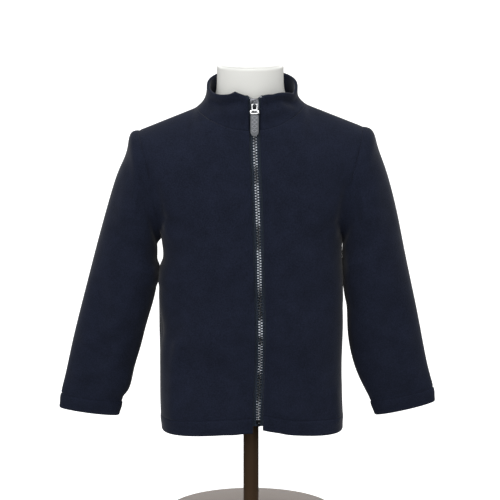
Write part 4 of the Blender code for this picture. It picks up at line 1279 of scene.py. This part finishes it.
            # Its hem lifts a little beside the zip
            beside = np.clip((grid[..., 0] - 0.004) / 0.030, 0.0, 1.0)
            lift = 0.0080 * (1.0 - beside) ** 1.3 * np.exp(-grid[..., 2] / 0.030)
            grid[..., 2] += lift
        return grid

    def folded_sleeve(self, grid: Array) -> Array:
        """Push the folds into a sleeve: each set on the half that faces its own way.

        Args:
            grid: The sleeve's smooth points.

        Returns:
            The folded points.
        """
        normal = normals_of(grid, closed=True)
        place = grid[..., (0, 2)]
        index = np.arange(len(grid))
        weight = np.clip(index / 8.0, 0, 1) * np.clip((len(grid) - 1 - index) / 22.0, 0, 1)
        front = sum(fold.at(place) for fold in self.sleeve_front) * soft_step(-normal[..., 1] * 1.6)
        back = sum(fold.at(place) for fold in self.sleeve_back) * soft_step(normal[..., 1] * 1.6)
        depth = (front + back) * weight[:, None] * self.crease_share
        return self.resting(grid + normal * depth[..., None], 0.6)

    def resting(self, grid: Array, share: float) -> Array:
        """Bulge a sleeve's inner side and the body's side towards each other where they touch.

        Args:
            grid: A piece's points, with outward normals.
            share: The piece's share of the gap.

        Returns:
            The points, moved along X.
        """
        normal = normals_of(grid)
        moved = grid.copy()
        for side, height, reach, depth in self.touches:
            level = bell(grid[..., 2], height, reach, 4)
            out = side.value * (1.0 if share < 0.5 else -1.0)
            facing = soft_step((normal[..., 0] * out - 0.15) / 0.7)
            near = side.value * grid[..., 0] > 0
            moved[..., 0] += out * depth * share * level * facing * near
        return moved

    def sewn(self, distance: Array) -> Array:
        """How far the cloth sinks beside a seam: a bell at the seam."""
        return self.seam_depth * bell(distance, 0.0, self.seam_half_width)

    def stitched(self, distance: Array) -> Array:
        """How far the cloth sinks under a hem's stitching, with a slight roll below it.

        Args:
            distance: Distance from the turned-up edge.

        Returns:
            The depth there.
        """
        off = distance - self.hem_turn
        groove = self.stitch_depth * bell(off, 0.0, self.stitch_half_width)
        roll = 0.0007 * bell(off, -0.006, 0.006) * (distance < self.hem_turn)
        return groove - roll

    def hemmed(self, distance: Array) -> Array:
        """The cloth's thickness: doubled up to just above the hem's stitching, then single."""
        return self.single + (self.doubled - self.single) * soft_step((0.0235 - distance) / 0.0015)

    def zip_stitched(self, distance: Array) -> Array:
        """A bell under the line of stitching beside the zip's edge, one at its middle."""
        return bell(distance, self.zip_stitch, self.stitch_half_width)

    def wall(
        self, name: str, grid: Array, sink: Array, thickness: Array, edge: Array, closed: bool
    ) -> None:
        """Make a piece's outer and inner surfaces.

        Args:
            name: The piece's name.
            grid: Its folded points.
            sink: How far each point sinks for seams and stitching.
            thickness: The wall's thickness at each point.
            edge: How far both faces fall back at a rounded edge.
            closed: True where the last column meets the first.
        """
        normal = normals_of(grid, closed)
        edge = np.minimum(edge, thickness * 0.46)
        self.smooth[name] = grid
        self.outer[name] = grid - normal * (sink + edge)[..., None]
        self.inner[name] = grid - normal * (thickness + sink * 0.5 - edge)[..., None]

    def lay_out(self) -> None:
        """Work out every piece's surfaces from the jacket's form."""
        shape = self.shape
        quarters = {(f, s): shape.panel(f, s) for f in Face for s in Side}
        below = len(shape.body_heights())
        armholes = {}
        for side in Side:
            over = quarters[Face.FRONT, side][below:, -1][::-1]
            under = quarters[Face.BACK, side][below + 1 : -1, -1]
            armholes[side] = np.concatenate([over, under])
        neck = shape.neck_cells * shape.refine
        seam = np.concatenate(
            [
                quarters[Face.FRONT, Side.RIGHT][-1, : neck + 1],
                quarters[Face.BACK, Side.RIGHT][-1, neck - 1 :: -1],
                quarters[Face.BACK, Side.LEFT][-1, 1 : neck + 1],
                quarters[Face.FRONT, Side.LEFT][-1, neck - 1 :: -1],
            ]
        )
        right, left = quarters[Face.FRONT, Side.RIGHT], quarters[Face.FRONT, Side.LEFT]
        self.lay_panel("front_right", right[:, ::-1], Face.FRONT, zip_last=True)
        self.lay_panel("front_left", left, Face.FRONT, zip_last=False)
        back = [quarters[Face.BACK, Side.LEFT][:, ::-1], quarters[Face.BACK, Side.RIGHT][:, 1:]]
        self.lay_panel("back", np.concatenate(back, axis=1), Face.BACK, zip_last=None)
        for side in Side:
            rings = shape.sleeve(side, armholes[side])
            grid = rings[::-1] if side is Side.RIGHT else rings[::-1, ::-1]
            self.lay_sleeve(f"sleeve_{side.label}", grid)
        self.lay_collar(shape.collar(seam)[:, ::-1])

    def lay_panel(self, name: str, grid: Array, face: Face, zip_last: bool | None) -> None:
        """Lay out a front or the back.

        Args:
            name: The panel's name.
            grid: Its smooth points, with rows up and columns in the order of the outside.
            face: Front or back.
            zip_last: Whether the zip's edge is the last column or the first; None for none.
        """
        last = grid.shape[1] - 1
        close = np.array([0.12, 0.3, 0.6])
        grid = resampled(grid, np.sort(np.concatenate([np.arange(last + 1), close, last - close])))
        grid = self.folded_body(name, grid, face)
        across = {end: edge_distance(grid, 1, end) for end in (False, True)}
        up, down = edge_distance(grid, 0, False), edge_distance(grid, 0, True)
        sink = self.stitched(up) + self.sewn(down)
        edge = turned_edge(up, self.doubled / 2)
        thickness = self.hemmed(up)
        for end in (False, True):
            if zip_last is end:
                # The zip's edge is a turned-in fold, with its own line of stitching
                edge = np.maximum(edge, turned_edge(across[end], self.zip_edge))
                sink = sink + 0.0006 * self.zip_stitched(across[end])
                sink = sink - 0.0006 * (across[end] < self.zip_stitch)
                thin = soft_step((across[end] - 0.012) / 0.004)
                thickness = self.single + (thickness - self.single) * thin
            else:
                sink = sink + self.sewn(across[end])
        self.wall(name, grid, sink, thickness, edge, closed=False)

    def lay_sleeve(self, name: str, grid: Array) -> None:
        """Lay out a sleeve, given with rows from its cuff to its armhole.

        Args:
            name: The sleeve's name.
            grid: Its smooth points.
        """
        grid = self.folded_sleeve(grid)
        up, down = edge_distance(grid, 0, False), edge_distance(grid, 0, True)
        sink = self.stitched(up) + self.sewn(down)
        thickness = self.hemmed(up)
        self.wall(name, grid, sink, thickness, turned_edge(up, self.doubled / 2), closed=True)

    def lay_collar(self, grid: Array) -> None:
        """Lay out the collar: doubled cloth, folded at its upper edge and bulging below it.

        Args:
            grid: Its smooth points, from the neck seam up.
        """
        up, down = edge_distance(grid, 0, False), edge_distance(grid, 0, True)
        first, last = edge_distance(grid, 1, False), edge_distance(grid, 1, True)
        beside = np.minimum(first, last)
        side = np.sign(grid[..., 0])
        grid = grid.copy()
        # Above the slider the two corners fall open and round off
        opened = np.clip((grid[..., 2] - self.corner_start) / 0.0100, 0.0, 1.2) ** 1.2
        opened = opened * bell(beside, 0.0, 0.016)
        grid[..., 0] += side * self.corner_opening * opened
        grid[..., 2] += self.corner_rise * opened
        grid[..., 1] += self.corner_set_back * opened
        # The upper edge dips where the cloth slumps beside each corner
        for place, reach, depth in self.collar_dips:
            dip = depth * bell(grid[..., 0], place, reach) * (grid[..., 1] < -0.01)
            grid[..., 2] -= dip * np.clip(1.0 - down / 0.022, 0.0, 1.0)
        risen = np.clip(up / 0.022, 0.0, 1.0)
        inside = np.clip(beside / 0.018, 0.0, 1.0)
        thickness = self.single + (self.collar_thickness - self.single) * inside * risen**1.5
        # A hollow runs under the upper edge of each front, and the cloth bulges below it
        front = soft_step((0.075 - beside) / 0.03) * soft_step(beside / 0.010)
        hollow = 0.0036 * bell(down, 0.013, 0.0055) * front
        bulge = 0.0022 * bell(down, 0.027, 0.008) * front
        edge = turned_edge(down, self.collar_thickness / 2)
        edge = np.maximum(edge, turned_edge(beside, self.zip_edge))
        sink = self.sewn(up) + hollow - bulge + 0.0005 * self.zip_stitched(beside)
        self.wall("collar", grid, sink, thickness, edge, closed=False)

    def build(self) -> dict[str, bpy.types.Object]:
        """Make every piece.

        Returns:
            The pieces by name.
        """
        made = {}
        for name, outer in self.outer.items():
            closed = name.startswith("sleeve")
            points = np.concatenate([outer.reshape(-1, 3), self.inner[name].reshape(-1, 3)])
            points = points + UP * HEM_HEIGHT
            quads = shell_faces(*outer.shape[:2], closed)
            piece = make_piece(f"cloth_{name}", points, quads, FLEECE)
            made[name] = placed(piece, name)
        return made


# ---------------------------------------------------------------- zip, pull, form and stand


@dataclass
class Zip:
    """The moulded zip: its line, tapes, teeth, foot box, stitching and slider."""

    cloth: Cloth
    bottom: float = 0.0085
    box_length: float = 0.0120
    box_thickness: float = 0.0032
    tape_thickness: float = 0.0009
    tape_gap: float = 0.0005
    tape_cover: float = 0.0065
    tooth_pitch: float = 0.00364
    tooth_offset: float = 0.00175
    tooth_size: tuple[float, float, float] = (0.0026, 0.0021, 0.0024)
    head_size: tuple[float, float, float] = (0.0013, 0.0010, 0.0010)
    top: float = 0.4500
    opening: float = 0.0075
    slider_half_length: float = 0.0070
    stitch_pitch: float = 0.0032
    stitch_size: tuple[float, float, float] = (0.0006, 0.0021, 0.0005)
    stitch_out: float = 0.0050
    # Heights where the chain tips up and catches the light, their reach and tilt in degrees
    tips: tuple[tuple[float, float, float], ...] = (
        (0.307, 0.030, 22.0), (0.218, 0.032, 24.0), (0.142, 0.015, 20.0), (0.372, 0.010, 12.0),
        (0.100, 0.018, -12.0), (0.028, 0.016, -14.0),
    )
    resting_tip: float = -10.0
    middle: Array = field(default_factory=lambda: np.zeros((0, 3)))
    outward: Array = field(default_factory=lambda: np.zeros((0, 3)))

    def __post_init__(self) -> None:
        """Work out the line up the zip, on the cloth's outer surface."""
        smooth = self.cloth.smooth
        right = np.concatenate([smooth["front_right"][:, -1], smooth["collar"][1:, -1]])
        left = np.concatenate([smooth["front_left"][:, 0], smooth["collar"][1:, 0]])
        self.middle = (right + left) / 2
        run = np.gradient(self.middle, axis=0)
        run[:, 0] = 0.0
        outward = np.cross(np.array([1.0, 0.0, 0.0]), run)
        self.outward = outward / np.linalg.norm(outward, axis=1)[:, None]

    @property
    def depth(self) -> float:
        """How far the tapes' middle lies behind the cloth's outer surface."""
        return self.cloth.single + self.tape_gap + self.tape_thickness / 2

    def frames(self, heights: Array) -> tuple[Array, Array]:
        """Places on the tapes' middle, and axes across, up and out, at each height.

        Args:
            heights: Heights above the hem.

        Returns:
            One place and one 3 x 3 matrix of axes a height.
        """
        level = self.middle[:, 2]
        place = np.stack([np.interp(heights, level, self.middle[:, k]) for k in range(3)], -1)
        out = np.stack([np.interp(heights, level, self.outward[:, k]) for k in range(3)], -1)
        out /= np.linalg.norm(out, axis=1)[:, None]
        place = place - out * self.depth
        across = np.tile(np.array([1.0, 0.0, 0.0]), (len(heights), 1))
        tip = sum(turn * bell(heights, at, reach, 4) for at, reach, turn in self.tips)
        tip = np.radians(tip + self.resting_tip)[:, None]
        up = np.cross(out, across)
        out = out * np.cos(tip) + up * np.sin(tip)
        axes = np.stack([across, np.cross(out, across), out], axis=1)
        return place + UP * HEM_HEIGHT, axes

    def spread(self, heights: Array) -> Array:
        """How far each row of teeth stands off the middle above the slider."""
        start = self.cloth.shape.slider_height + 0.004
        return self.opening * np.clip((heights - start) / (self.top - start), 0.0, 1.2) ** 1.2

    def teeth(self) -> bpy.types.Object:
        """Two rows of teeth, half a pitch apart, each with a head that locks between two others.

        Returns:
            The piece.
        """
        body, body_quads = chamfered_box(self.tooth_size, 0.00035)
        head, head_quads = chamfered_box(self.head_size, 0.00025)
        reach = (self.tooth_size[0] + self.head_size[0]) / 2 - 0.0003
        skin = Skin()
        for side in Side:
            start = self.bottom + self.box_length + (0.0012 if side is Side.RIGHT else 0.0030)
            heights = np.arange(start, self.top, self.tooth_pitch)
            clear = np.abs(heights - self.cloth.shape.slider_height) > self.slider_half_length
            heights = heights[clear]
            place, axes = self.frames(heights)
            away = side.value * (self.tooth_offset + self.spread(heights))
            for shape, faces, inward in ((body, body_quads, 0.0), (head, head_quads, reach)):
                at = place.copy()
                at[:, 0] += away - side.value * inward
                skin.add(*copies(shape, faces, at, axes))
        piece = make_piece("zip_teeth", *skin.joined(), TEETH, 30.0)
        return placed(piece, "zip_chain")

    def foot(self) -> bpy.types.Object:
        """The box at the zip's foot, with the slot of the pin beside it.

        Returns:
            The piece.
        """
        place, axes = self.frames(np.array([self.bottom + self.box_length / 2]))
        # Size and offset of the box, of the pin's sleeve and of the raised pad
        length, thickness = self.box_length, self.box_thickness
        parts = (
            ((0.0036, length, thickness), (0.0013, 0.0, 0.0)),
            ((0.0022, length - 0.0006, thickness - 0.0006), (-0.0019, 0.0002, 0.0)),
            ((0.0030, 0.0030, 0.0006), (0.0013, -0.0012, thickness / 2)),
        )
        skin = Skin()
        for size, offset in parts:
            shape, faces = chamfered_box(size, min(0.0005, size[2] * 0.4))
            skin.add(*copies(shape + np.array(offset), faces, place, axes))
        piece = make_piece("zip_foot_box", *skin.joined(), TEETH, 50.0)
        return placed(piece, "zip_box")

    def tape(self, side: Side) -> bpy.types.Object:
        """One tape: under the cloth's edge, then bare under the teeth.

        Args:
            side: The wearer's side.

        Returns:
            The piece.
        """
        first = side is Side.LEFT
        edges, inside = [], []
        for name, start in ((f"front_{side.label}", 0), ("collar", 1)):
            lining = self.cloth.inner[name][start:]
            lining = lining if first else lining[:, ::-1]
            edges.append(lining[:, 0])
            distance = edge_distance(lining, 1, False)
            near = np.argmin(np.abs(distance - self.tape_cover).mean(0))
            inside.append(lining[:, near])
        edge, covered = np.concatenate(edges), np.concatenate(inside)
        line = self.middle - self.outward * self.cloth.single
        bare = line.copy()
        bare[:, 0] += side.value * (0.0007 + self.spread(line[:, 2]))
        edge = np.stack([edge[:, 0], line[:, 1], line[:, 2]], -1)
        covered[:, 2] = line[:, 2]
        middle = (edge + covered) / 2
        half_way = (edge + bare) / 2
        grid = np.stack([covered, middle, edge, half_way, bare], axis=1)
        if not first:
            grid = grid[:, ::-1]
        grid = grid - self.outward[:, None] * self.tape_gap
        kept = (grid[:, 0, 2] > self.bottom) & (grid[:, 0, 2] < self.top + 0.001)
        grid, out = grid[kept], self.outward[kept]
        back = grid - out[:, None] * self.tape_thickness
        points = np.concatenate([grid.reshape(-1, 3), back.reshape(-1, 3)]) + UP * HEM_HEIGHT
        name = f"zip_tape_{side.label}"
        piece = make_piece(f"woven_{name}", points, shell_faces(*grid.shape[:2], False), TAPE, 50.0)
        placed(piece, name)
        return piece

    def stitching(self) -> bpy.types.Object:
        """A row of machine stitches down each tape, between the teeth and the cloth.

        Returns:
            The piece.
        """
        heights = np.arange(self.bottom + 0.003, self.top - 0.002, self.stitch_pitch)
        place, axes = self.frames(heights)
        shape, faces = chamfered_box(self.stitch_size, 0.0002)
        skin = Skin()
        for side in Side:
            at = place + axes[:, 2] * (self.tape_thickness / 2 + 0.0001)
            at[:, 0] += side.value * (self.stitch_out + self.spread(heights) * 0.4)
            skin.add(*copies(shape, faces, at, axes))
        return placed(make_piece("zip_tape_stitches", *skin.joined(), THREAD))

    def build(self) -> dict[str, bpy.types.Object]:
        """Make every piece of the zip.

        Returns:
            The pieces by name.
        """
        pieces = [self.teeth(), self.foot(), self.stitching()]
        pieces += [self.tape(side) for side in Side]
        slider = softened("zip_slider", "slider_body", "jacket", GUNMETAL, 0.00035)
        pieces.append(slider)
        return {piece.name: piece for piece in pieces}


def softened(
    node: str, name: str, body: str, finish: Finish, radius: float
) -> bpy.types.Object:
    """A copy of a metal part's solid with its edges rounded.

    Args:
        node: The solid's name.
        name: The piece's name.
        body: The body that it rides on.
        finish: Its finish.
        radius: Width of the rounding.

    Returns:
        The piece, which stands for the solid.
    """
    mesh = frame["nodes"][node].data.copy()
    mesh.name = name
    shape = bmesh.new()
    shape.from_mesh(mesh)
    bmesh.ops.remove_doubles(shape, verts=shape.verts, dist=2e-6)
    bmesh.ops.dissolve_limit(shape, angle_limit=0.02, verts=shape.verts, edges=shape.edges)
    shape.to_mesh(mesh)
    shape.free()
    mesh.shade_smooth()
    made = bpy.data.objects.new(name, mesh)
    bpy.context.scene.collection.objects.link(made)
    mesh.materials.clear()
    mesh.materials.append(finish.material())
    bevel = made.modifiers.new("rounding", "BEVEL")
    bevel.width = radius
    bevel.segments = 2
    bevel.limit_method = "ANGLE"
    bevel.angle_limit = math.radians(35)
    bevel.harden_normals = True
    return placed(made, node, body)


@dataclass(frozen=True)
class Pull:
    """The pull: a nickel frame in the slider's bridge and a rubber tab under it."""

    hinge: tuple[float, float, float]
    lean: float = -6.5
    frame_length: float = 0.0137
    gap: float = 0.0003
    tab_thickness: float = 0.0026
    lozenges: int = 4
    first_lozenge: float = 0.0038
    lozenge_pitch: float = 0.0056
    lozenge_size: tuple[float, float] = (0.0074, 0.0046)
    bar_width: float = 0.0007
    bar_rise: float = 0.00035

    def axes(self) -> Array:
        """Axes of the pull: across, up to the hinge and out of the cloth, as rows.

        Returns:
            A 3 x 3 matrix.
        """
        turn = math.radians(self.lean)
        up = np.array([0.0, -math.sin(turn), math.cos(turn)])
        across = np.array([1.0, 0.0, 0.0])
        return np.stack([across, up, np.cross(across, up)])

    def lozenge_bars(self) -> bpy.types.Object:
        """A column of raised lozenge outlines down both faces of the tab, four bars to each.

        Returns:
            The piece.
        """
        axes = self.axes()
        top = np.array(self.hinge) - axes[1] * (self.frame_length + self.gap)
        width, height = self.lozenge_size
        length = math.hypot(width, height) / 2
        size = (length, self.bar_width, self.tab_thickness + 2 * self.bar_rise)
        shape, faces = chamfered_box(size, 0.0002)
        turn = math.atan2(height, width)
        centres = -(self.first_lozenge + self.lozenge_pitch * np.arange(self.lozenges))
        places, turned = [], []
        for centre, across, up in itertools.product(centres, (-1, 1), (-1, 1)):
            spin = -turn * across * up
            cos, sin = math.cos(spin), math.sin(spin)
            offset = np.array([across * width / 4, centre + up * height / 4, 0.0])
            places.append(top + offset @ axes)
            turned.append(np.array([[cos, sin, 0], [-sin, cos, 0], [0, 0, 1]]) @ axes)
        points, quads = copies(shape, faces, np.array(places), np.array(turned))
        # Painted highlight: the raised bars take the paler rubber
        piece = make_piece("tab_lozenges", points, quads, RUBBER_PAINTED_HIGHLIGHT, 50.0)
        return placed(piece, body="pull")

    def build(self) -> dict[str, bpy.types.Object]:
        """Make the pull's pieces.

        Returns:
            The pieces by name.
        """
        loop = softened("pull_loop", "pull_frame", "pull", NICKEL, 0.0002)
        tab = softened("pull_tab", "pull_rubber_tab", "pull", RUBBER, 0.0003)
        pieces = (loop, tab, self.lozenge_bars())
        return {piece.name: piece for piece in pieces}


@dataclass
class DressForm:
    """The limbless form: the jacket's own shape set back, flat at the arms, with a round neck."""

    shape: JacketShape = field(default_factory=lambda: JacketShape(refine=4))
    neck_centre_x: float = -0.001
    neck_radius: float = 0.0445
    neck_top: float = 0.4850
    neck_rim: float = 0.0042
    neck_flare: float = 5.0
    bottom: float = 0.024
    cloth: float = 0.0025
    clearance: float = 0.0004
    ease: float = 0.014
    neck_ease: float = 0.0035
    zip_ease: float = 0.0060
    stations: tuple[float, ...] = (
        0.0, 0.0208, 0.024, 0.055, 0.088, 0.120, 0.152, 0.182, 0.208, 0.232,
        0.250, 0.2535, 0.264, 0.281, 0.304, 0.330,
    )

    def shells(self) -> dict[Face, Array]:
        """The form's front and back, set back from the cloth: wide below, resting on top.

        Returns:
            Points of each face, from its bottom up.
        """
        shape = self.shape
        heights = np.concatenate([shape.body_heights(), shape.armhole_heights()])
        step = np.interp(heights, self.stations, np.arange(len(self.stations)))
        yoke = np.arange(1, shape.yoke_cells * shape.refine + 1) / shape.refine
        step = np.concatenate([step, len(self.stations) - 1 + yoke])
        total = len(self.stations) + shape.yoke_cells
        seat = np.clip(((total - 1 - step) / (total - 1) - 2.5 / total) * 2.2, 0.0, 1.0)
        cells = shape.refine * (shape.neck_cells + shape.shoulder_cells)
        column = np.arange(cells + 1) / shape.refine
        made = {}
        for face in Face:
            right, left = shape.panel(face, Side.RIGHT), shape.panel(face, Side.LEFT)
            if face is Face.FRONT:
                middle = (right[:, :1] + left[:, :1]) / 2
                grid = np.concatenate([right[:, ::-1], middle, left], axis=1)
                share = (1 + column) / (shape.neck_cells + 1)
                share = np.concatenate([share[::-1], [0.0], share])
            else:
                grid = np.concatenate([left[:, ::-1], right[:, 1:]], axis=1)
                share = column / shape.neck_cells
                share = np.concatenate([share[::-1], share[1:]])
            ease = self.neck_ease * (1 - soft_step((share - 0.95) * 6))
            if face is Face.FRONT:
                ease = ease + self.zip_ease * np.clip(1.0 - share, 0.0, 1.0)
            back = self.cloth + self.clearance + self.ease * seat[:, None] + ease
            made[face] = grid - normals_of(grid) * back[..., None]
        first = int(np.searchsorted(heights, self.bottom))
        for grid in made.values():
            grid[first:, 0, 1] = grid[first:, -1, 1] = 0.0
        return {face: grid[first:] for face, grid in made.items()}

    def build(self) -> dict[str, bpy.types.Object]:
        """Make the form.

        Returns:
            The piece by name.
        """
        shells = self.shells()
        front, back = shells[Face.FRONT], shells[Face.BACK]
        heights = np.concatenate([self.shape.body_heights(), self.shape.armhole_heights()])
        below = len(self.shape.body_heights()) - int(np.searchsorted(heights, self.bottom))
        # Front and back share their side seam up to the underarm, and the shoulder seam
        side = slice(0, below + 1)
        for here, there in ((0, -1), (-1, 0)):
            front[side, here] = back[side, there] = (front[side, here] + back[side, there]) / 2
        corner = self.shape.shoulder_cells * self.shape.refine
        right, left = slice(0, corner + 1), slice(-corner - 1, None)
        for here, there in ((right, left), (left, right)):
            joined = (front[-1, here] + back[-1, there][::-1]) / 2
            front[-1, here], back[-1, there] = joined, joined[::-1]
        front[0, :, 2] = back[0, :, 2] = self.bottom
        skin = Skin()
        skin.add_grid(front)
        skin.add_grid(back)
        skin.add_cap(np.concatenate([front[0], back[0, 1:-1]])[::-1])
        skin.add_cap(np.concatenate([front[below:, 0], back[below + 1 : -1, -1][::-1]]))
        skin.add_cap(np.concatenate([front[below:, -1], back[below + 1 : -1, 0][::-1]])[::-1])
        seam = np.concatenate([front[-1, corner:-corner], back[-1, corner + 1 : -corner - 1]])
        rings = self.neck_rings(seam)
        skin.add_grid(rings, closed=True)
        skin.add_cap(rings[-1])
        points, quads = skin.welded()
        piece = make_piece("form_body", points + UP * HEM_HEIGHT, quads, FORM_WHITE, 55.0)
        return {piece.name: placed(piece, "dress_form")}

    def neck_rings(self, seam: Array) -> Array:
        """Rings from the neck seam to the round top: a power curve in, then a rounded rim.

        Args:
            seam: The neck seam, anticlockwise from above.

        Returns:
            Rings of points, from the seam up.
        """
        turn = np.arctan2(seam[:, 1], seam[:, 0] - self.neck_centre_x)
        out = np.hypot(seam[:, 0] - self.neck_centre_x, seam[:, 1])
        top, rim = self.neck_top + 0.0009, self.neck_rim
        rings = [seam]
        for share in np.linspace(0.03, 1.0, 26):
            radius = self.neck_radius + (out - self.neck_radius) * (1 - share) ** self.neck_flare
            height = seam[:, 2] + (top - rim - seam[:, 2]) * share
            rings.append(self.ring(turn, radius, height))
        for angle in np.radians(np.linspace(10, 90, 9)):
            radius = self.neck_radius - rim + rim * math.cos(angle)
            height = top - rim + rim * math.sin(angle)
            rings.append(self.ring(turn, radius, height))
        for share in (0.75, 0.4, 0.12):
            rings.append(self.ring(turn, (self.neck_radius - rim) * share, top))
        return np.stack(rings)

    def ring(self, turn: Array, radius: Any, height: Any) -> Array:
        """A ring about the neck's axis."""
        x = self.neck_centre_x + radius * np.cos(turn)
        return np.stack([x, radius * np.sin(turn), height + 0 * turn], -1)


@dataclass(frozen=True)
class Stand:
    """The pole under the form and its weighted round base."""

    pole_radius: float = 0.0104
    pole_low: float = 0.0123
    pole_high: float = 0.1637
    base_radius: float = 0.115
    base_thickness: float = 0.012
    base_edge: float = 0.003

    def build(self) -> dict[str, bpy.types.Object]:
        """Make the pole and the base.

        Returns:
            The pieces by name.
        """
        r, low, high, c = self.pole_radius, self.pole_low, self.pole_high, 0.0005
        profile = np.array([[r - c, low], [r, low + c], [r, high - c], [r - c, high]])
        points, quads = turned_solid(profile, 72)
        pole = make_piece("pole_tube", points, quads, BRONZE, 40.0)
        turn = np.radians(np.linspace(0, 90, 9))
        edge, out, top = self.base_edge, self.base_radius, self.base_thickness
        quarter = np.stack([np.cos(turn), np.sin(turn)], -1)
        rounding = np.array([out - edge, top - edge]) + edge * quarter
        foot = np.array([[out - 0.0008, 0.0], [out, 0.0008]])
        middle = np.array([[out * 0.5, top], [self.pole_radius + 0.004, top]])
        points, quads = turned_solid(np.concatenate([foot, rounding, middle]), 128)
        base = make_piece("base_disc", points, quads, BRONZE, 40.0)
        for piece, node in ((pole, "stand_pole"), (base, "stand_base")):
            placed(piece, node)
        return {pole.name: pole, base.name: base}


# ---------------------------------------------------------------- stage


@dataclass(frozen=True)
class Studio:
    """A pale floor, soft light from above and the camera."""

    distance: float = 4.0
    elevation: float = 10.5
    target: tuple[float, float, float] = (-0.00135, 0.0, 0.3735)
    view_width: float = 0.675
    floor_radius: float = 40.0
    floor_sides: int = 96
    floor_glow: float = 0.62
    sky_strength: float = 0.80
    room_strength: float = 2.8

    def floor(self) -> None:
        """A wide, pale round floor under the stand."""
        turn = np.linspace(0, 2 * np.pi, self.floor_sides, endpoint=False)
        reach = self.floor_radius
        ring = np.stack([reach * np.cos(turn), reach * np.sin(turn), 0 * turn], -1)
        points = np.concatenate([ring, [[0.0, 0.0, 0.0]]])
        i = np.arange(self.floor_sides)
        quads = fan(i, (i + 1) % self.floor_sides, self.floor_sides)
        floor = make_piece("studio_floor", points, quads, PAPER)
        shader = floor.data.materials[0].node_tree.nodes["Principled BSDF"]
        shader.inputs["Emission Color"].default_value = (1.0, 1.0, 1.0, 1.0)
        shader.inputs["Emission Strength"].default_value = self.floor_glow
        floor.visible_diffuse = False
        floor.visible_glossy = False

    def lamp(
        self, name: str, place: Sequence[float], size: float, power: float, aim: Sequence[float]
    ) -> None:
        """A square softbox.

        Args:
            name: The light's name.
            place: Its place.
            size: Its side.
            power: Its power in watts.
            aim: The point that it faces.
        """
        light = bpy.data.lights.new(name, "AREA")
        light.size = size
        light.energy = power
        lamp = bpy.data.objects.new(name, light)
        lamp.location = place
        lamp.rotation_euler = (Vector(aim) - Vector(place)).to_track_quat("-Z", "Y").to_euler()
        bpy.context.scene.collection.objects.link(lamp)

    def world(self) -> None:
        """Soft light, brightest overhead, and plain white behind everything."""
        low, high = self.sky_strength * 0.72, self.sky_strength * 1.02
        world = bpy.data.worlds.new("studio")
        world.use_nodes = True
        tree = world.node_tree
        sky = tree.nodes["Background"]
        sky.inputs["Color"].default_value = (1.0, 1.0, 1.0, 1.0)
        place = add_node(tree, "ShaderNodeTexCoord", {})
        split = add_node(tree, "ShaderNodeSeparateXYZ", {}, Vector=place.outputs["Generated"])
        rise = add_node(
            tree,
            "ShaderNodeMapRange",
            {"From Min": -0.1, "From Max": 1.0, "To Min": low, "To Max": high},
            Value=split.outputs["Z"],
        )
        tree.links.new(rise.outputs["Result"], sky.inputs["Strength"])
        # Polished metal sees a dark room with a band of softboxes above the camera
        room = add_node(tree, "ShaderNodeValToRGB", {}, Fac=split.outputs["Z"])
        stops = ((0.0, 0.01), (0.12, 0.95), (0.45, 0.95), (0.60, 0.05), (1.0, 0.05))
        for k, (place_on, grey) in enumerate(stops):
            stop = room.color_ramp.elements.new(place_on) if k > 1 else room.color_ramp.elements[k]
            stop.position = place_on
            stop.color = (grey, grey, grey, 1.0)
        dark = add_node(
            tree,
            "ShaderNodeBackground",
            {"Strength": self.room_strength},
            Color=room.outputs["Color"],
        )
        white = add_node(tree, "ShaderNodeBackground", {"Color": (1, 1, 1, 1), "Strength": 1.0})
        path = add_node(tree, "ShaderNodeLightPath", {})
        seen = add_node(
            tree,
            "ShaderNodeMixShader",
            {},
            i0=path.outputs["Is Glossy Ray"],
            i1=sky.outputs[0],
            i2=dark.outputs[0],
        )
        both = add_node(
            tree,
            "ShaderNodeMixShader",
            {},
            i0=path.outputs["Is Camera Ray"],
            i1=seen.outputs[0],
            i2=white.outputs[0],
        )
        tree.links.new(both.outputs[0], tree.nodes["World Output"].inputs["Surface"])
        bpy.context.scene.world = world

    def camera(self) -> None:
        """The camera, level across and a little above the jacket's middle."""
        lens = bpy.data.cameras.new("camera")
        lens.sensor_fit = "HORIZONTAL"
        lens.sensor_width = 36.0
        lens.lens = 36.0 * self.distance / self.view_width
        lens.clip_end = 100.0
        camera = bpy.data.objects.new("camera", lens)
        lift = math.radians(self.elevation)
        away = Vector((0.0, -math.cos(lift), math.sin(lift))) * self.distance
        camera.location = Vector(self.target) + away
        camera.rotation_euler = (-away).to_track_quat("-Z", "Y").to_euler()
        bpy.context.scene.collection.objects.link(camera)
        bpy.context.scene.camera = camera

    def build(self) -> None:
        """Set up the whole studio."""
        self.floor()
        self.world()
        self.lamp("top_softbox", (0.15, -0.45, 2.1), 1.1, 8.0, (0.0, 0.0, 0.45))
        self.lamp("front_softbox", (-1.3, -2.6, 1.5), 1.0, 16.0, (0.0, 0.0, 0.35))
        self.camera()
        bpy.context.scene.view_settings.view_transform = "Standard"


def main() -> None:
    """Build the whole scene, and log each piece."""
    Studio().build()
    shape = JacketShape()
    cloth = Cloth(shape)
    cloth.lay_out()
    pieces = cloth.build()
    pieces.update(Zip(cloth).build())
    joint = frame["record"]["behaviour"]["joints"][0]
    pieces.update(Pull(tuple(joint["pos_m"])).build())
    pieces.update(DressForm().build())
    pieces.update(Stand().build())
    for name, piece in pieces.items():
        area = sum(polygon.area for polygon in piece.data.polygons)
        LOG.info("%s: %d faces, %.4f m2 of surface", name, len(piece.data.polygons), area)


if __name__ == "__main__":
    main()
